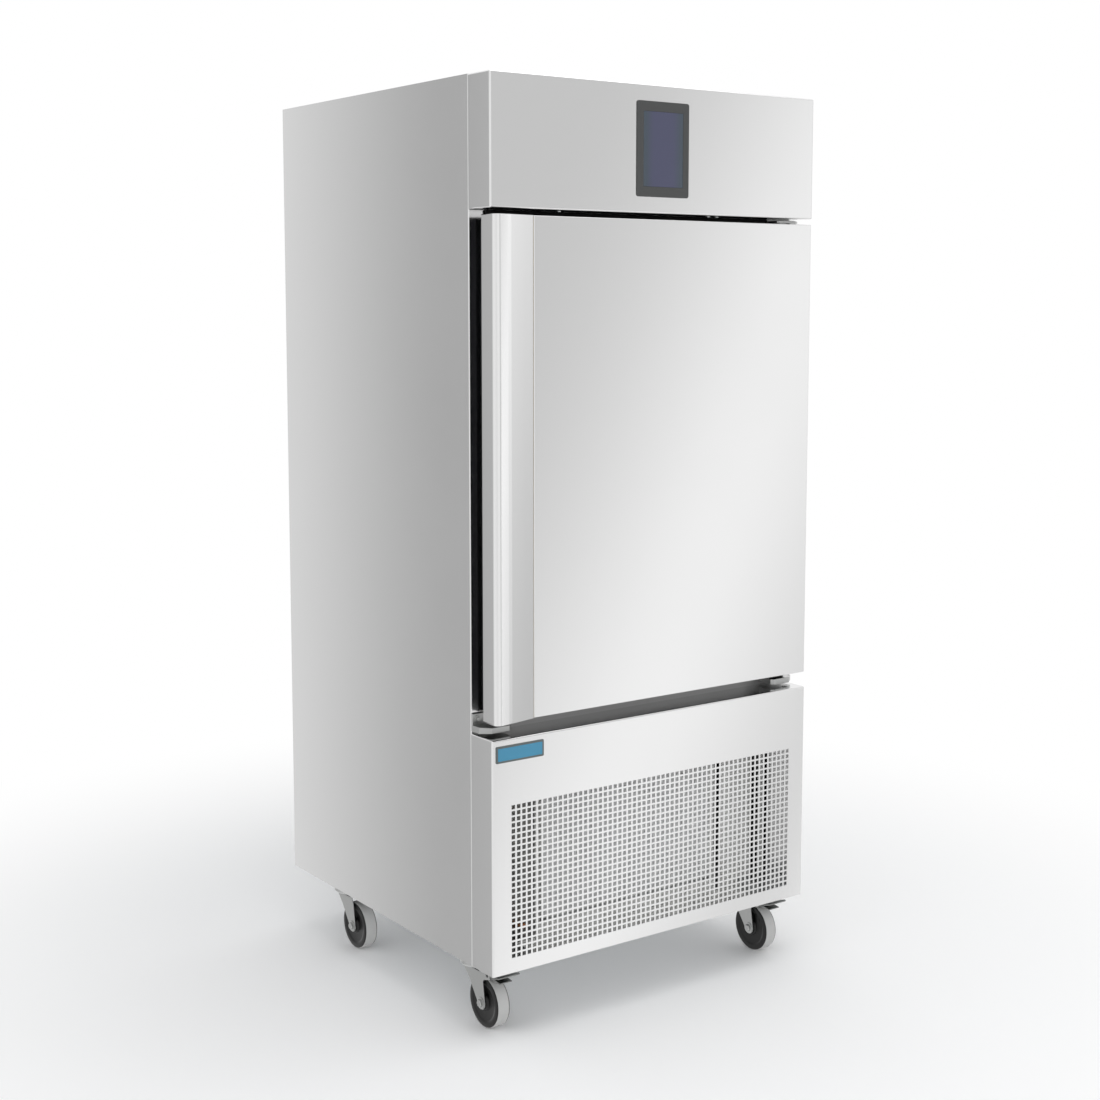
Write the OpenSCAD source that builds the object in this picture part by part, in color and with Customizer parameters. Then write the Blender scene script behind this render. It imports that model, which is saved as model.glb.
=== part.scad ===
// Upright blast chiller for ten trays, self-contained, on four swivel casters.
// Millimetres. Z is up from the floor, X to the right, and the front faces -Y.
// The origin is on the floor, under the middle of the overall box.

/* [Cabinet] */
// Overall width over the side panels
cab_w = 790; // [760:1:860]
// Depth from the plane of the front panels to the back
cab_d = 800; // [780:1:900]
// Height of the bodywork above the casters
body_h = 1665; // [1640:1:1760]
// How far the fascia, door and lower panel stand in front of the cabinet face
front_depth = 71; // [66:1:80]
// Insulated wall, sheets included
wall_t = 60; // [52:1:70]
// Outer steel sheet
skin_t = 1.2; // [0.8:0.1:2]
// Chamber and door lining sheet
liner_t = 1; // [0.8:0.1:1.5]
// Plastic breaker strip round the chamber mouth, width
breaker_w = 24; // [18:1:28]
// Plastic breaker strip, thickness
breaker_t = 3; // [2:0.5:5]
// Radius of the chamber's coved corners
cove_r = 14; // [6:1:25]

/* [Front] */
// Height of the head fascia
head_h = 241; // [225:1:260]
// Gap between the fascia and the door
top_gap = 11; // [10:1:16]
// Gap between the door and the lower panel
low_gap = 31; // [29:1:40]
// Height of the lower panel
low_h = 452; // [440:1:470]
// Depth of the fascia's lower return, short of the cabinet face
head_return = 56; // [40:1:60]
// Display bezel width
bezel_w = 127; // [110:1:150]
// Display bezel height
bezel_h = 179; // [160:1:190]
// Display bezel's top edge below the fascia's top
bezel_drop = 31; // [20:1:40]
// How far the bezel stands proud
bezel_t = 2.5; // [1.5:0.5:4]
// Screen width
screen_w = 97; // [80:1:104]
// Screen height
screen_h = 141; // [120:1:150]
// Badge plate width
badge_w = 108; // [80:1:140]
// Badge plate height
badge_h = 32; // [20:1:40]
// Badge plate thickness
badge_t = 1.5; // [1:0.5:3]

/* [Grille] */
// Square perforation, side
hole = 16; // [12:1:18]
// Perforation pitch across
pitch_x = 24; // [22:1:28]
// Perforation pitch up
pitch_z = 23; // [22:1:28]
// Perforated columns
hole_cols = 29; // [9:2:29]
// Perforated rows
hole_rows = 13; // [6:1:13]
// Lowest row above the panel's bottom edge
hole_up = 32; // [25:1:45]

/* [Door] */
// Depth of the door's steel pan and of the handle profile's side
pan_d = 29; // [26:1:32]
// Thickness of the door to its lining
door_t = 52; // [48:1:56]
// Clearance between the door's hinge edge and the cabinet's side
door_edge_gap = 2; // [1:0.5:5]
// Door frame's inset from the pan on the hinge side, top and bottom
frame_inset = 4; // [3:0.5:8]
// Finger recess behind the handle profile
grip_inset = 28; // [24:1:34]
// Width of the door frame's limbs
frame_w = 14; // [10:1:18]
// Width of the handle profile
handle_w = 95; // [85:1:110]
// How far the handle's nose stands in front of the door
nose_out = 15; // [10:1:22]
// Radius of the handle's nose
nose_r = 18; // [14:1:22]
// Handle sheet
handle_t = 1.5; // [1:0.1:2.5]
// Gasket width
gasket_w = 22; // [18:1:24]
// Pressed panel of the door lining, height
dish_h = 8; // [4:1:12]
// Overlap of the door beyond the chamber mouth
door_lap = 37; // [32:1:42]

/* [Hinges] */
// Hinge axis from the cabinet's side
hinge_in = 22; // [20:1:26]
// Hinge axis behind the front plane
hinge_back = 38; // [35:1:40]
// Hinge pin diameter
pin_d = 12; // [8:1:14]
// Hinge bush diameter
bush_d = 24; // [20:1:26]
// Hinge bush length
bush_h = 40; // [30:1:50]
// Bracket width
bracket_w = 65; // [60:1:80]
// Bottom bracket thickness
bracket_t = 12; // [8:1:14]
// Top bracket thickness
top_bracket_t = 5; // [4:0.5:6]
// Gap between the lower panel's top and the bottom bracket
bracket_up = 5; // [3:1:8]

/* [Casters] */
// Caster height over its plate
caster_h = 135; // [130:1:150]
// Wheel diameter
wheel_d = 100; // [96:1:102]
// Wheel width over its rims
wheel_w = 29; // [24:1:32]
// Trail of the wheel from the swivel axis
trail = 38; // [30:1:42]
// Swivel axis from the cabinet's side
caster_in = 50; // [46:1:60]
// Front swivel axes behind the front plane
caster_front = 125; // [115:1:140]
// Rear swivel axes in front of the back
caster_rear = 168; // [150:1:200]
// Caster plate length
plate_l = 160; // [150:1:180]
// Caster plate width
plate_w = 84; // [80:1:90]
// Caster plate thickness
plate_t = 6; // [4:1:8]
// King pin diameter
king_d = 14; // [12:1:18]
// Axle diameter
axle_d = 10; // [8:1:12]
// Brake pedal width
pedal_w = 50; // [40:1:56]

/* [Chamber fittings] */
// Evaporator fan diameter
evap_fan_d = 280; // [240:1:300]
// Height of the lower evaporator fan above the chamber floor
evap_fan_z = 225; // [200:1:260]
// Spacing of the two evaporator fans
evap_fan_gap = 400; // [340:1:420]
// Width of the fan cover
cover_w = 500; // [440:1:540]
// Space behind the fan cover
plenum_d = 176; // [170:1:200]
// Width of the tray runners
runner_w = 24; // [18:1:30]
// Stud between a rack post and the chamber wall
stud_l = 12; // [8:1:20]
// Length of the tray runners
runner_l = 400; // [325:1:410]
// Tray levels
levels = 10; // [4:1:10]
// Spacing of the tray levels
level_pitch = 72; // [65:1:76]

/* [Machine bay] */
// Thickness of the base tray
base_t = 3; // [2:0.5:4]
// Condenser width
cond_w = 465; // [420:1:520]
// Condenser height
cond_h = 306; // [290:1:330]
// Depth of the condenser's fin pack
cond_d = 50; // [40:1:70]
// Condenser behind the front plane
cond_back = 98; // [85:1:120]
// Condenser fan diameter
cond_fan_d = 260; // [220:1:264]
// Compressor diameter
comp_d = 200; // [180:1:220]
// Compressor height
comp_h = 270; // [240:1:300]
// Receiver diameter
tank_d = 110; // [90:1:130]
// Receiver height
tank_h = 260; // [220:1:300]
// Refrigerant pipe diameter
pipe_d = 12; // [8:1:16]

/* [Hidden] */
$fn = 64;

// Clearances
eps = 0.01;
run_gap = 0.05;     // radial, shaft in bore
part_gap = 0.3;     // between a moving part and its seat
hole_gap = 0.5;     // bolt in its hole, radial

// Cabinet planes. The handle's nose and the back set the overall depth.
half_w = cab_w / 2;
front_y = (nose_out - cab_d) / 2;
back_y = front_y + cab_d;
face_y = front_y + front_depth;
top_z = caster_h + body_h;
low_top = caster_h + low_h;
door_z0 = low_top + low_gap;
head_z0 = top_z - head_h;
door_z1 = head_z0 - top_gap;
door_h = door_z1 - door_z0;
room_w = cab_w - 2 * wall_t;
room_z0 = door_z0 + door_lap;
room_z1 = door_z1 - door_lap;
room_h = room_z1 - room_z0;
room_back = back_y - wall_t;
room_mid = (room_z0 + room_z1) / 2;
core_z0 = room_z0 - wall_t;
core_z1 = room_z1 + wall_t;
flange_w = wall_t - breaker_w;
inner_w = cab_w - 2 * skin_t;
strip_w = room_w + 2 * breaker_w;
strip_h = room_h + 2 * breaker_w;
deck_z = caster_h + base_t;
upstand_h = 28;
upstand_t = 2;
tray_y0 = front_y + skin_t;
tray_y1 = back_y - skin_t;
gland_x = half_w - 95;
gland_z = deck_z + 40;
gland_d = 20;
gland_l = 20;
gland_bore = 12;
lid_fold = 30;

// Door
door_x0 = -half_w;
door_x1 = half_w - door_edge_gap;
skin_x0 = door_x0 + handle_w;
frame_x0 = door_x0 + grip_inset;
frame_x1 = door_x1 - frame_inset;
frame_z0 = door_z0 + frame_inset;
frame_z1 = door_z1 - frame_inset;
liner_x0 = frame_x0 + frame_w;
liner_x1 = frame_x1 - frame_w;
liner_z0 = frame_z0 + frame_w;
liner_z1 = frame_z1 - frame_w;
hinge_x = half_w - hinge_in;
hinge_y = front_y + hinge_back;
gasket_x1 = hinge_x - 2;
gasket_x0 = -room_w / 2 - gasket_w - 1;
gasket_z0 = room_z0 - gasket_w - 1;
gasket_z1 = room_z1 + gasket_w + 1;
dish_margin = 30;

// Hinge hardware
bracket_z0 = low_top + bracket_up;
bracket_z1 = bracket_z0 + bracket_t;
bracket_leg = 22;
bracket_leg_t = 5;
bracket_front = front_y + pan_d;
top_bracket_z0 = door_z1 + (top_gap - top_bracket_t) / 2;
top_bracket_leg = 34;
bush_reach = bush_h - 8;
pin_short = 2;

// Display
bezel_z1 = top_z - bezel_drop;
bezel_z0 = bezel_z1 - bezel_h;
bezel_r = 5;
box_w = 220;
box_h = 170;
box_d = 48;

// Evaporator compartment
cover_y = room_back - plenum_d;
cover_t = 1.2;
cover_flange = 25;
guard_t = 3;
opening_d = evap_fan_d + 10;
fan_zs = [room_z0 + evap_fan_z, room_z0 + evap_fan_z + evap_fan_gap];
mount_ring = opening_d / 2 + 12;
fan_hub_d = 72;
fan_hub_t = 26;
shaft_d = 8;
fan_front = 4;          // fan hub behind the cover
motor_gap = 6;          // motor behind the fan hub
motor_d = 80;
motor_l = 50;
coil_gap = 12;          // coil in front of the chamber's back wall
coil_d = 62;
coil_w = 430;
coil_h = 690;
coil_z0 = room_z0 + (room_h - coil_h) / 2;
coil_y = room_back - coil_gap - coil_d / 2;
coil_tubes = 8;
coil_tube_z0 = coil_z0 + coil_h / coil_tubes / 2;
coil_tube_z1 = coil_z0 + coil_h - coil_h / coil_tubes / 2;
tube_d = 10;

// Tray racks
post = 15;
post_x = room_w / 2 - stud_l - post;
rack_y0 = face_y + 66.5;
rack_foot = 60;         // lowest runner above the chamber floor
rack_head = 60;         // posts above the top runner
rack_h = (levels - 1) * level_pitch + rack_foot + rack_head;
post_in = 70;           // posts from the runners' ends
weld_gap = 0.1;         // between parts that are spot-welded

// Machine bay
cond_y = front_y + cond_back;
cond_z0 = deck_z + 6;
cond_z1 = cond_z0 + cond_h;
cond_mid = (cond_z0 + cond_z1) / 2;
shroud_y = cond_y + cond_d;
shroud_d = 62;
cond_fan_y = shroud_y + shroud_d - 40;
comp_x = half_w - 225;
comp_y = back_y - 287.5;
tank_x = 165 - half_w;
tank_y = back_y - 317.5;
riser_x = tank_x;
riser_y = back_y - 177.5;
suction_x = riser_x + 40;
cond_fins = 24;
cond_tubes = 8;
cond_core_w = cond_w - 60;
cond_tube_z0 = cond_z0 + 2 + (cond_h - 4) / cond_tubes / 2;
cond_tube_z1 = cond_z1 - 2 - (cond_h - 4) / cond_tubes / 2;
cond_pipe_x = -cond_w / 2 - 18;
drier_z = deck_z + 170;
drier_l = 110;
comp_round = 26;
tank_round = 34;
tank_lead = 40;         // straight end of the pipe into the receiver
feed_h = 50;
pipe_rise = 40;         // pipes over the condenser's casing
pipe_step = 34;         // between the discharge and suction runs
rail_w = plate_w + 4;
rail_h = 26;

// Casters
caster_x = half_w - caster_in;
caster_y0 = front_y + caster_front;
caster_y1 = back_y - caster_rear;
plate_z0 = caster_h - plate_t;
axle_z = wheel_d / 2;
crown_t = 18;
crown_d = 74;
crown_z1 = plate_z0 - part_gap;
crown_z0 = crown_z1 - crown_t;
nut_t = 6;
leg_t = 3;
hub_w = wheel_w + 5;
leg_in = hub_w / 2 + 0.5;
leg_z1 = crown_z0 + 8;
pedal_y = -60;
pedal_z = crown_z0;
pedal_pin_d = 6;
pedal_front = -105;
pedal_hub_d = 13;
bolt_d = 8;
bolt_x = plate_w / 2 - 11;
bolt_y = plate_l / 2 - 14;
head_t = 5;

// ---------- shared shapes ----------

// Points along an arc, from angle a0 to a1
function arc(cx, cy, r, a0, a1, n) =
  [for (i = [0:n]) let (a = a0 + (a1 - a0) * i / n) [cx + r * cos(a), cy + r * sin(a)]];

// Box from one corner to the opposite one
module span(lo, hi) {
  translate(lo) cube([hi[0] - lo[0], hi[1] - lo[1], hi[2] - lo[2]]);
}

// Flat outline in X and Z, given thickness along Y from y0 to y1
module upright(y0, y1) {
  translate([0, y1, 0]) rotate([90, 0, 0]) linear_extrude(height = y1 - y0) children();
}

module round_box(w, h, r) {
  offset(r = r, $fn = 32) square([w - 2 * r, h - 2 * r], center = true);
}

module on_casters() {
  for (sx = [-1, 1]) for (y = [caster_y0, caster_y1]) translate([sx * caster_x, y, 0]) children();
}

module plate_bolts() {
  for (sx = [-1, 1]) for (sy = [-1, 1]) translate([sx * bolt_x, sy * bolt_y, 0]) children();
}

// ---------- outer sheets ----------

module side_panel(side) {
  color([0.72, 0.72, 0.73]) mirror([side > 0 ? 1 : 0, 0, 0]) {
    span([-half_w, face_y, caster_h], [skin_t - half_w, back_y, top_z]);
    span([-half_w, face_y, deck_z + upstand_h], [flange_w - half_w, face_y + skin_t, top_z - skin_t]);
  }
}

module top_panel() {
  color([0.78, 0.78, 0.79]) {
    span([-inner_w / 2, face_y, top_z - skin_t], [inner_w / 2, back_y, top_z]);
    span([-half_w + flange_w, face_y, top_z - lid_fold], [half_w - flange_w, face_y + skin_t, top_z - skin_t]);
  }
}

module rear_panel() {
  color([0.74, 0.74, 0.75])
    span([-inner_w / 2, back_y - skin_t, core_z0], [inner_w / 2, back_y, top_z - skin_t]);
}

// Two banks of pressed louvres let the condenser's air out
module rear_louvre_panel() {
  bank_x = inner_w / 4;
  slot_w = 240;
  slot_h = 12;
  step = 30;
  blade = 14;
  lap = 1;
  rows = floor((core_z0 - deck_z - 120) / step);
  color([0.7, 0.7, 0.71]) difference() {
    union() {
      upright(back_y - skin_t, back_y) difference() {
        translate([-inner_w / 2, deck_z]) square([inner_w, core_z0 - deck_z]);
        for (sx = [-1, 1]) for (i = [0:rows - 1])
          translate([sx * bank_x - slot_w / 2, deck_z + 70 + i * step]) square([slot_w, slot_h]);
      }
      for (sx = [-1, 1]) for (i = [0:rows - 1])
        translate([sx * bank_x - slot_w / 2 - lap, back_y - skin_t + 0.2, deck_z + 70 + slot_h + lap + i * step])
          rotate([-50, 0, 0]) translate([0, -blade, 0]) cube([slot_w + 2 * lap, blade, skin_t]);
    }
    translate([gland_x, back_y, gland_z]) rotate([90, 0, 0])
      cylinder(d = gland_d + 2 * hole_gap, h = 4 * skin_t, center = true);
  }
}

// Supply cord's inlet
module cable_gland() {
  nut_h = 6;
  color([0.1, 0.1, 0.1]) translate([gland_x, back_y, gland_z]) rotate([90, 0, 0]) difference() {
    union() {
      cylinder(d = gland_d, h = gland_l);
      translate([0, 0, skin_t]) cylinder(d = gland_d + 10, h = nut_h, $fn = 6);
    }
    translate([0, 0, -1]) cylinder(d = gland_bore, h = gland_l + 2);
  }
}

// Steel rails that close the cabinet face above and below the chamber mouth
module face_rails() {
  color([0.75, 0.75, 0.76]) {
    half = half_w - flange_w;
    span([-half, face_y, low_top], [half, face_y + skin_t, room_z0 - breaker_w]);
    span([-half, face_y, low_top], [half, face_y + 20, low_top + skin_t]);
    span([-half, face_y, room_z1 + breaker_w], [half, face_y + skin_t, core_z1]);
  }
}

// ---------- insulated chamber ----------

module room_outline(grow) {
  translate([0, room_mid]) round_box(room_w + 2 * grow, room_h + 2 * grow, cove_r + grow);
}

module insulation() {
  color([0.93, 0.87, 0.65]) difference() {
    span([-inner_w / 2, face_y + skin_t, core_z0], [inner_w / 2, back_y - skin_t, core_z1]);
    upright(face_y, room_back + liner_t) room_outline(liner_t);
    upright(face_y, face_y + breaker_t)
      translate([-strip_w / 2, room_z0 - breaker_w]) square([strip_w, strip_h]);
    for (x = [riser_x, suction_x]) translate([x, riser_y, core_z0 - 1])
      cylinder(d = pipe_d + 2 * hole_gap, h = wall_t + 2);
  }
}

module chamber_liner() {
  color([0.82, 0.82, 0.83]) difference() {
    upright(face_y + breaker_t, room_back + liner_t) room_outline(liner_t);
    upright(face_y, room_back) room_outline(0);
    for (x = [riser_x, suction_x]) translate([x, riser_y, room_z0 - 5])
      cylinder(d = pipe_d + 2 * hole_gap, h = 10);
  }
}

module breaker_frame() {
  color([0.14, 0.14, 0.15]) upright(face_y, face_y + breaker_t) difference() {
    translate([-strip_w / 2, room_z0 - breaker_w]) square([strip_w, strip_h]);
    room_outline(0);
  }
}

// ---------- head fascia and display ----------

module head_fascia() {
  color([0.8, 0.8, 0.81]) {
    upright(front_y, front_y + skin_t) difference() {
      translate([-half_w, head_z0]) square([cab_w, head_h]);
      translate([0, (bezel_z0 + bezel_z1) / 2])
        square([screen_w + 10, screen_h + 10], center = true);
    }
    for (sx = [-1, 1]) translate([sx * (half_w - skin_t / 2) - skin_t / 2, front_y, head_z0])
      cube([skin_t, front_depth, head_h]);
    span([-half_w, front_y, top_z - skin_t], [half_w, face_y, top_z]);
    span([-half_w, front_y, head_z0], [half_w, front_y + head_return, head_z0 + skin_t]);
  }
}

module display_bezel() {
  mid_z = (bezel_z0 + bezel_z1) / 2;
  color([0.16, 0.16, 0.17]) {
    upright(front_y - bezel_t, front_y) translate([0, mid_z]) difference() {
      round_box(bezel_w, bezel_h, bezel_r);
      square([screen_w, screen_h], center = true);
    }
    // skirt through the fascia, up against the control box
    upright(front_y, front_y + skin_t) translate([0, mid_z]) difference() {
      square([screen_w + 10, screen_h + 10], center = true);
      square([screen_w, screen_h], center = true);
    }
  }
}

module display_screen() {
  color([0.2, 0.22, 0.32])
    upright(front_y - bezel_t + 0.8, front_y + skin_t)
      translate([0, (bezel_z0 + bezel_z1) / 2]) square([screen_w, screen_h], center = true);
}

module control_box() {
  mid_z = (bezel_z0 + bezel_z1) / 2;
  color([0.3, 0.31, 0.33]) {
    upright(front_y + skin_t, front_y + skin_t + box_d)
      translate([0, mid_z]) round_box(box_w, box_h, 6);
    upright(front_y + skin_t + box_d - eps, front_y + skin_t + box_d + 3)
      translate([0, mid_z]) round_box(box_w - 20, box_h - 20, 6);
  }
}

// ---------- lower panel ----------

module lower_panel() {
  mid_col = (hole_cols - 1) / 2;
  color([0.86, 0.86, 0.87]) {
    upright(front_y, front_y + skin_t) difference() {
      translate([-half_w, caster_h]) square([cab_w, low_h]);
      for (c = [0:hole_cols - 1]) for (r = [0:hole_rows - 1])
        translate([(c - mid_col) * pitch_x - hole / 2, caster_h + hole_up + r * pitch_z])
          square(hole);
    }
    for (sx = [-1, 1]) translate([sx * (half_w - skin_t / 2) - skin_t / 2, front_y, caster_h])
      cube([skin_t, front_depth, low_h]);
    span([-half_w, front_y, low_top - skin_t], [half_w, face_y, low_top]);
  }
}

module badge_plate() {
  color([0.2, 0.42, 0.55]) upright(front_y - badge_t, front_y)
    translate([-half_w + 8 + badge_w / 2, low_top - 12 - badge_h / 2]) round_box(badge_w, badge_h, 3);
}

// ---------- door ----------

// Plan outline of the handle profile: side, round nose, then a strip that slopes back to the skin
function handle_outline(in) = concat(
  [[in, pan_d - in]],
  arc(nose_r, nose_r - nose_out, nose_r - in, 180, 270, 10),
  arc(nose_r + 13, 4 - nose_out, 4 - in, 270, 345, 5),
  [[handle_w - in, in], [handle_w - in, pan_d - in]]
);

module door_handle() {
  color([0.84, 0.84, 0.85]) translate([door_x0, front_y, door_z0]) difference() {
    linear_extrude(height = door_h) polygon(handle_outline(0));
    translate([0, 0, handle_t]) linear_extrude(height = door_h - 2 * handle_t)
      polygon(handle_outline(handle_t));
  }
}

module bush_pockets() {
  for (z = [door_z0, door_z1 - bush_h]) translate([hinge_x, hinge_y, z])
    cylinder(d = bush_d, h = bush_h);
}

module door_skin() {
  color([0.86, 0.86, 0.87]) difference() {
    span([skin_x0, front_y, door_z0], [door_x1, front_y + pan_d, door_z1]);
    span([skin_x0 - 1, front_y + skin_t, door_z0 + skin_t],
         [door_x1 - skin_t, front_y + pan_d + 1, door_z1 - skin_t]);
    bush_pockets();
  }
}

module door_core() {
  color([0.93, 0.87, 0.65]) difference() {
    union() {
      span([skin_x0, front_y + skin_t, door_z0 + skin_t],
           [door_x1 - skin_t, front_y + pan_d, door_z1 - skin_t]);
      span([liner_x0, front_y + pan_d, liner_z0], [liner_x1, front_y + door_t - liner_t, liner_z1]);
      span([liner_x0 + dish_margin, front_y + door_t - liner_t - eps, liner_z0 + dish_margin],
           [liner_x1 - dish_margin, front_y + door_t + dish_h - liner_t, liner_z1 - dish_margin]);
    }
    bush_pockets();
  }
}

module door_frame() {
  color([0.08, 0.08, 0.09]) difference() {
    span([frame_x0, front_y + pan_d, frame_z0], [frame_x1, front_y + door_t, frame_z1]);
    span([liner_x0, front_y, liner_z0], [liner_x1, face_y, liner_z1]);
    bush_pockets();
  }
}

module door_liner() {
  color([0.8, 0.8, 0.81]) difference() {
    union() {
      span([liner_x0, front_y + door_t - liner_t, liner_z0], [liner_x1, front_y + door_t, liner_z1]);
      span([liner_x0 + dish_margin - liner_t, front_y + door_t - eps, liner_z0 + dish_margin - liner_t],
           [liner_x1 - dish_margin + liner_t, front_y + door_t + dish_h, liner_z1 - dish_margin + liner_t]);
    }
    span([liner_x0 + dish_margin, front_y, liner_z0 + dish_margin],
         [liner_x1 - dish_margin, front_y + door_t + dish_h - liner_t, liner_z1 - dish_margin]);
  }
}

module ring(x0, x1, z0, z1, w) {
  difference() {
    translate([x0, z0]) square([x1 - x0, z1 - z0]);
    translate([x0 + w, z0 + w]) square([x1 - x0 - 2 * w, z1 - z0 - 2 * w]);
  }
}

// Foot in the lining's edge, hollow bellows, and the lip that meets the cabinet face
module door_gasket() {
  y0 = front_y + door_t;
  y1 = face_y - part_gap;
  foot = 4;
  lip = 5;
  waist = 4;
  color([0.1, 0.1, 0.1]) {
    upright(y0, y0 + foot) ring(gasket_x0, gasket_x1, gasket_z0, gasket_z1, gasket_w);
    upright(y0 + foot - eps, y1 - lip + eps)
      ring(gasket_x0 + waist, gasket_x1 - waist, gasket_z0 + waist, gasket_z1 - waist, gasket_w - 2 * waist);
    upright(y1 - lip, y1)
      ring(gasket_x0 + 1, gasket_x1 - 1, gasket_z0 + 1, gasket_z1 - 1, gasket_w - 2);
  }
}

module door_bushes() {
  color([0.55, 0.55, 0.57]) for (up = [0, 1])
    translate([hinge_x, hinge_y, up ? door_z1 : door_z0]) mirror([0, 0, up]) difference() {
      cylinder(d = bush_d, h = bush_h);
      translate([0, 0, -1]) cylinder(d = pin_d + 2 * run_gap, h = bush_reach + 1);
    }
}

// ---------- hinge hardware ----------

// Plan outline of a bracket, with both front corners cut off
module bracket_outline() {
  difference() {
    translate([half_w - bracket_w, bracket_front]) square([bracket_w, face_y - bracket_front]);
    translate([half_w - 8, bracket_front]) rotate(45) square([30, 12], center = true);
    translate([half_w - bracket_w, bracket_front]) rotate(-45) square([16, 9], center = true);
  }
}

module bottom_bracket() {
  difference() {
    union() {
      translate([0, 0, bracket_z0]) linear_extrude(height = bracket_t) bracket_outline();
      span([half_w - bracket_w, face_y - bracket_leg_t, bracket_z0],
           [half_w, face_y, bracket_z0 + bracket_t + bracket_leg]);
    }
    translate([hinge_x, hinge_y, bracket_z0 - 1]) cylinder(d = pin_d, h = bracket_t + 2);
    for (x = [half_w - bracket_w + 12, half_w - 12])
      translate([x, face_y - bracket_leg_t - 1, bracket_z1 + bracket_leg / 2]) rotate([-90, 0, 0])
        cylinder(d = 6.6, h = bracket_leg_t + 2);
  }
}

module hinge_brackets() {
  color([0.7, 0.7, 0.7]) {
    bottom_bracket();
    difference() {
      union() {
        translate([0, 0, top_bracket_z0]) linear_extrude(height = top_bracket_t) bracket_outline();
        span([half_w - bracket_w, face_y - bracket_leg_t, top_bracket_z0],
             [half_w - skin_t - 1, face_y, top_bracket_z0 + top_bracket_leg]);
      }
      translate([hinge_x, hinge_y, top_bracket_z0 - 1]) cylinder(d = pin_d, h = top_bracket_t + 2);
    }
  }
}

module spare_hinge_bracket() {
  color([0.7, 0.7, 0.7]) mirror([1, 0, 0]) bottom_bracket();
}

module hinge_pins() {
  washer_d = pin_d + 9;
  color([0.82, 0.82, 0.82]) {
    translate([hinge_x, hinge_y, 0]) {
      translate([0, 0, bracket_z0]) cylinder(d = pin_d, h = door_z0 - bracket_z0 + bush_reach - pin_short);
      translate([0, 0, bracket_z1]) cylinder(d = washer_d, h = door_z0 - bracket_z1 - part_gap);
      translate([0, 0, door_z1 - bush_reach + pin_short])
        cylinder(d = pin_d, h = bush_reach - pin_short + top_bracket_z0 + top_bracket_t - door_z1);
      translate([0, 0, door_z1 + part_gap])
        cylinder(d = washer_d, h = top_bracket_z0 - door_z1 - part_gap);
    }
  }
}

// Ribbed spring sleeve of the self-closing hinge, lying on the bottom bracket
module door_closer() {
  len = 26;
  r = 6;
  x0 = hinge_x - pin_d / 2 - 10 - len;
  ribs = 5;
  color([0.35, 0.35, 0.36]) translate([x0, hinge_y, bracket_z1 + r]) rotate([0, 90, 0]) {
    cylinder(r = r - 1.6, h = len);
    for (i = [0:ribs - 1]) translate([0, 0, 1 + i * (len - 5) / (ribs - 1)]) cylinder(r = r, h = 3);
  }
}

// ---------- machine bay ----------

// Rail folded up from the tray, over a front and a rear caster
module side_rail(side) {
  x = side * caster_x;
  for (sx = [-1, 1]) translate([x + sx * (rail_w - upstand_t) / 2 - upstand_t / 2, tray_y0, deck_z])
    cube([upstand_t, tray_y1 - tray_y0, rail_h]);
  translate([x - rail_w / 2, tray_y0, deck_z + rail_h - upstand_t])
    cube([rail_w, tray_y1 - tray_y0, upstand_t]);
}

// Galvanised tray that carries the condensing unit and the casters
module base_frame() {
  color([0.62, 0.63, 0.65]) difference() {
    union() {
      span([-inner_w / 2, tray_y0, caster_h], [inner_w / 2, tray_y1, deck_z]);
      for (sx = [-1, 1])
        translate([sx * (inner_w - upstand_t) / 2 - upstand_t / 2, tray_y0, deck_z])
          cube([upstand_t, tray_y1 - tray_y0, upstand_h]);
      span([-inner_w / 2, tray_y0, deck_z], [inner_w / 2, tray_y0 + upstand_t, caster_h + hole_up - 4]);
      side_rail(-1);
      side_rail(1);
    }
    on_casters() plate_bolts() translate([0, 0, caster_h - 1])
      cylinder(d = bolt_d + 2 * hole_gap, h = base_t + 2);
  }
}

// Hermetic compressor: drawn shell with a rounded top, welded seam, feet and terminal cover
module compressor() {
  r = comp_d / 2;
  foot_h = 14;
  z0 = deck_z + foot_h;
  h = comp_h - foot_h;
  color([0.09, 0.09, 0.1]) translate([comp_x, comp_y, 0]) {
    translate([0, 0, z0]) rotate_extrude() polygon(concat(
      [[0, 0], [r - comp_round, 0]],
      arc(r - comp_round, comp_round, comp_round, -90, 0, 6),
      [[r, h * 0.52], [r + 4, h * 0.52], [r + 4, h * 0.52 + 6], [r, h * 0.52 + 6]],
      arc(r - 60, h - 60, 60, 0, 90, 10),
      [[0, h]]
    ));
    span([-r - 14, -r + 20, z0 - 3], [r + 14, r - 20, z0 + 4]);
    for (sx = [-1, 1]) for (sy = [-1, 1]) translate([sx * r, sy * (r - 34), deck_z])
      cylinder(d = 26, h = foot_h - 2);
    span([-34, -r - 26, z0 + h * 0.3], [34, -r + 30, z0 + h * 0.3 + 62]);
  }
}

// Finned coil: plates on a row of tubes, with return bends at both ends
module coil(w, d, h, fins, tubes) {
  fin_t = 1.4;
  bend = h / tubes;
  for (i = [0:fins - 1]) translate([-w / 2 + i * (w - fin_t) / (fins - 1), 0, 0]) cube([fin_t, d, h]);
  for (j = [0:tubes - 1]) translate([-w / 2 - 1, d / 2, bend * (j + 0.5)]) rotate([0, 90, 0])
    cylinder(d = tube_d, h = w + 2);
  for (side = [-1, 1]) for (j = [side > 0 ? 0 : 1:2:tubes - 2])
    translate([side * (w / 2 + 1), d / 2, bend * (j + 1)]) rotate([90, 0, 0])
      rotate([0, 0, side > 0 ? -90 : 90]) rotate_extrude(angle = 180)
        translate([bend / 2, 0]) circle(d = tube_d);
}

module condenser_coil() {
  color([0.72, 0.74, 0.76]) translate([0, cond_y, cond_z0 + 2])
    coil(cond_core_w, cond_d, cond_h - 4, cond_fins, cond_tubes);
}

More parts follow.
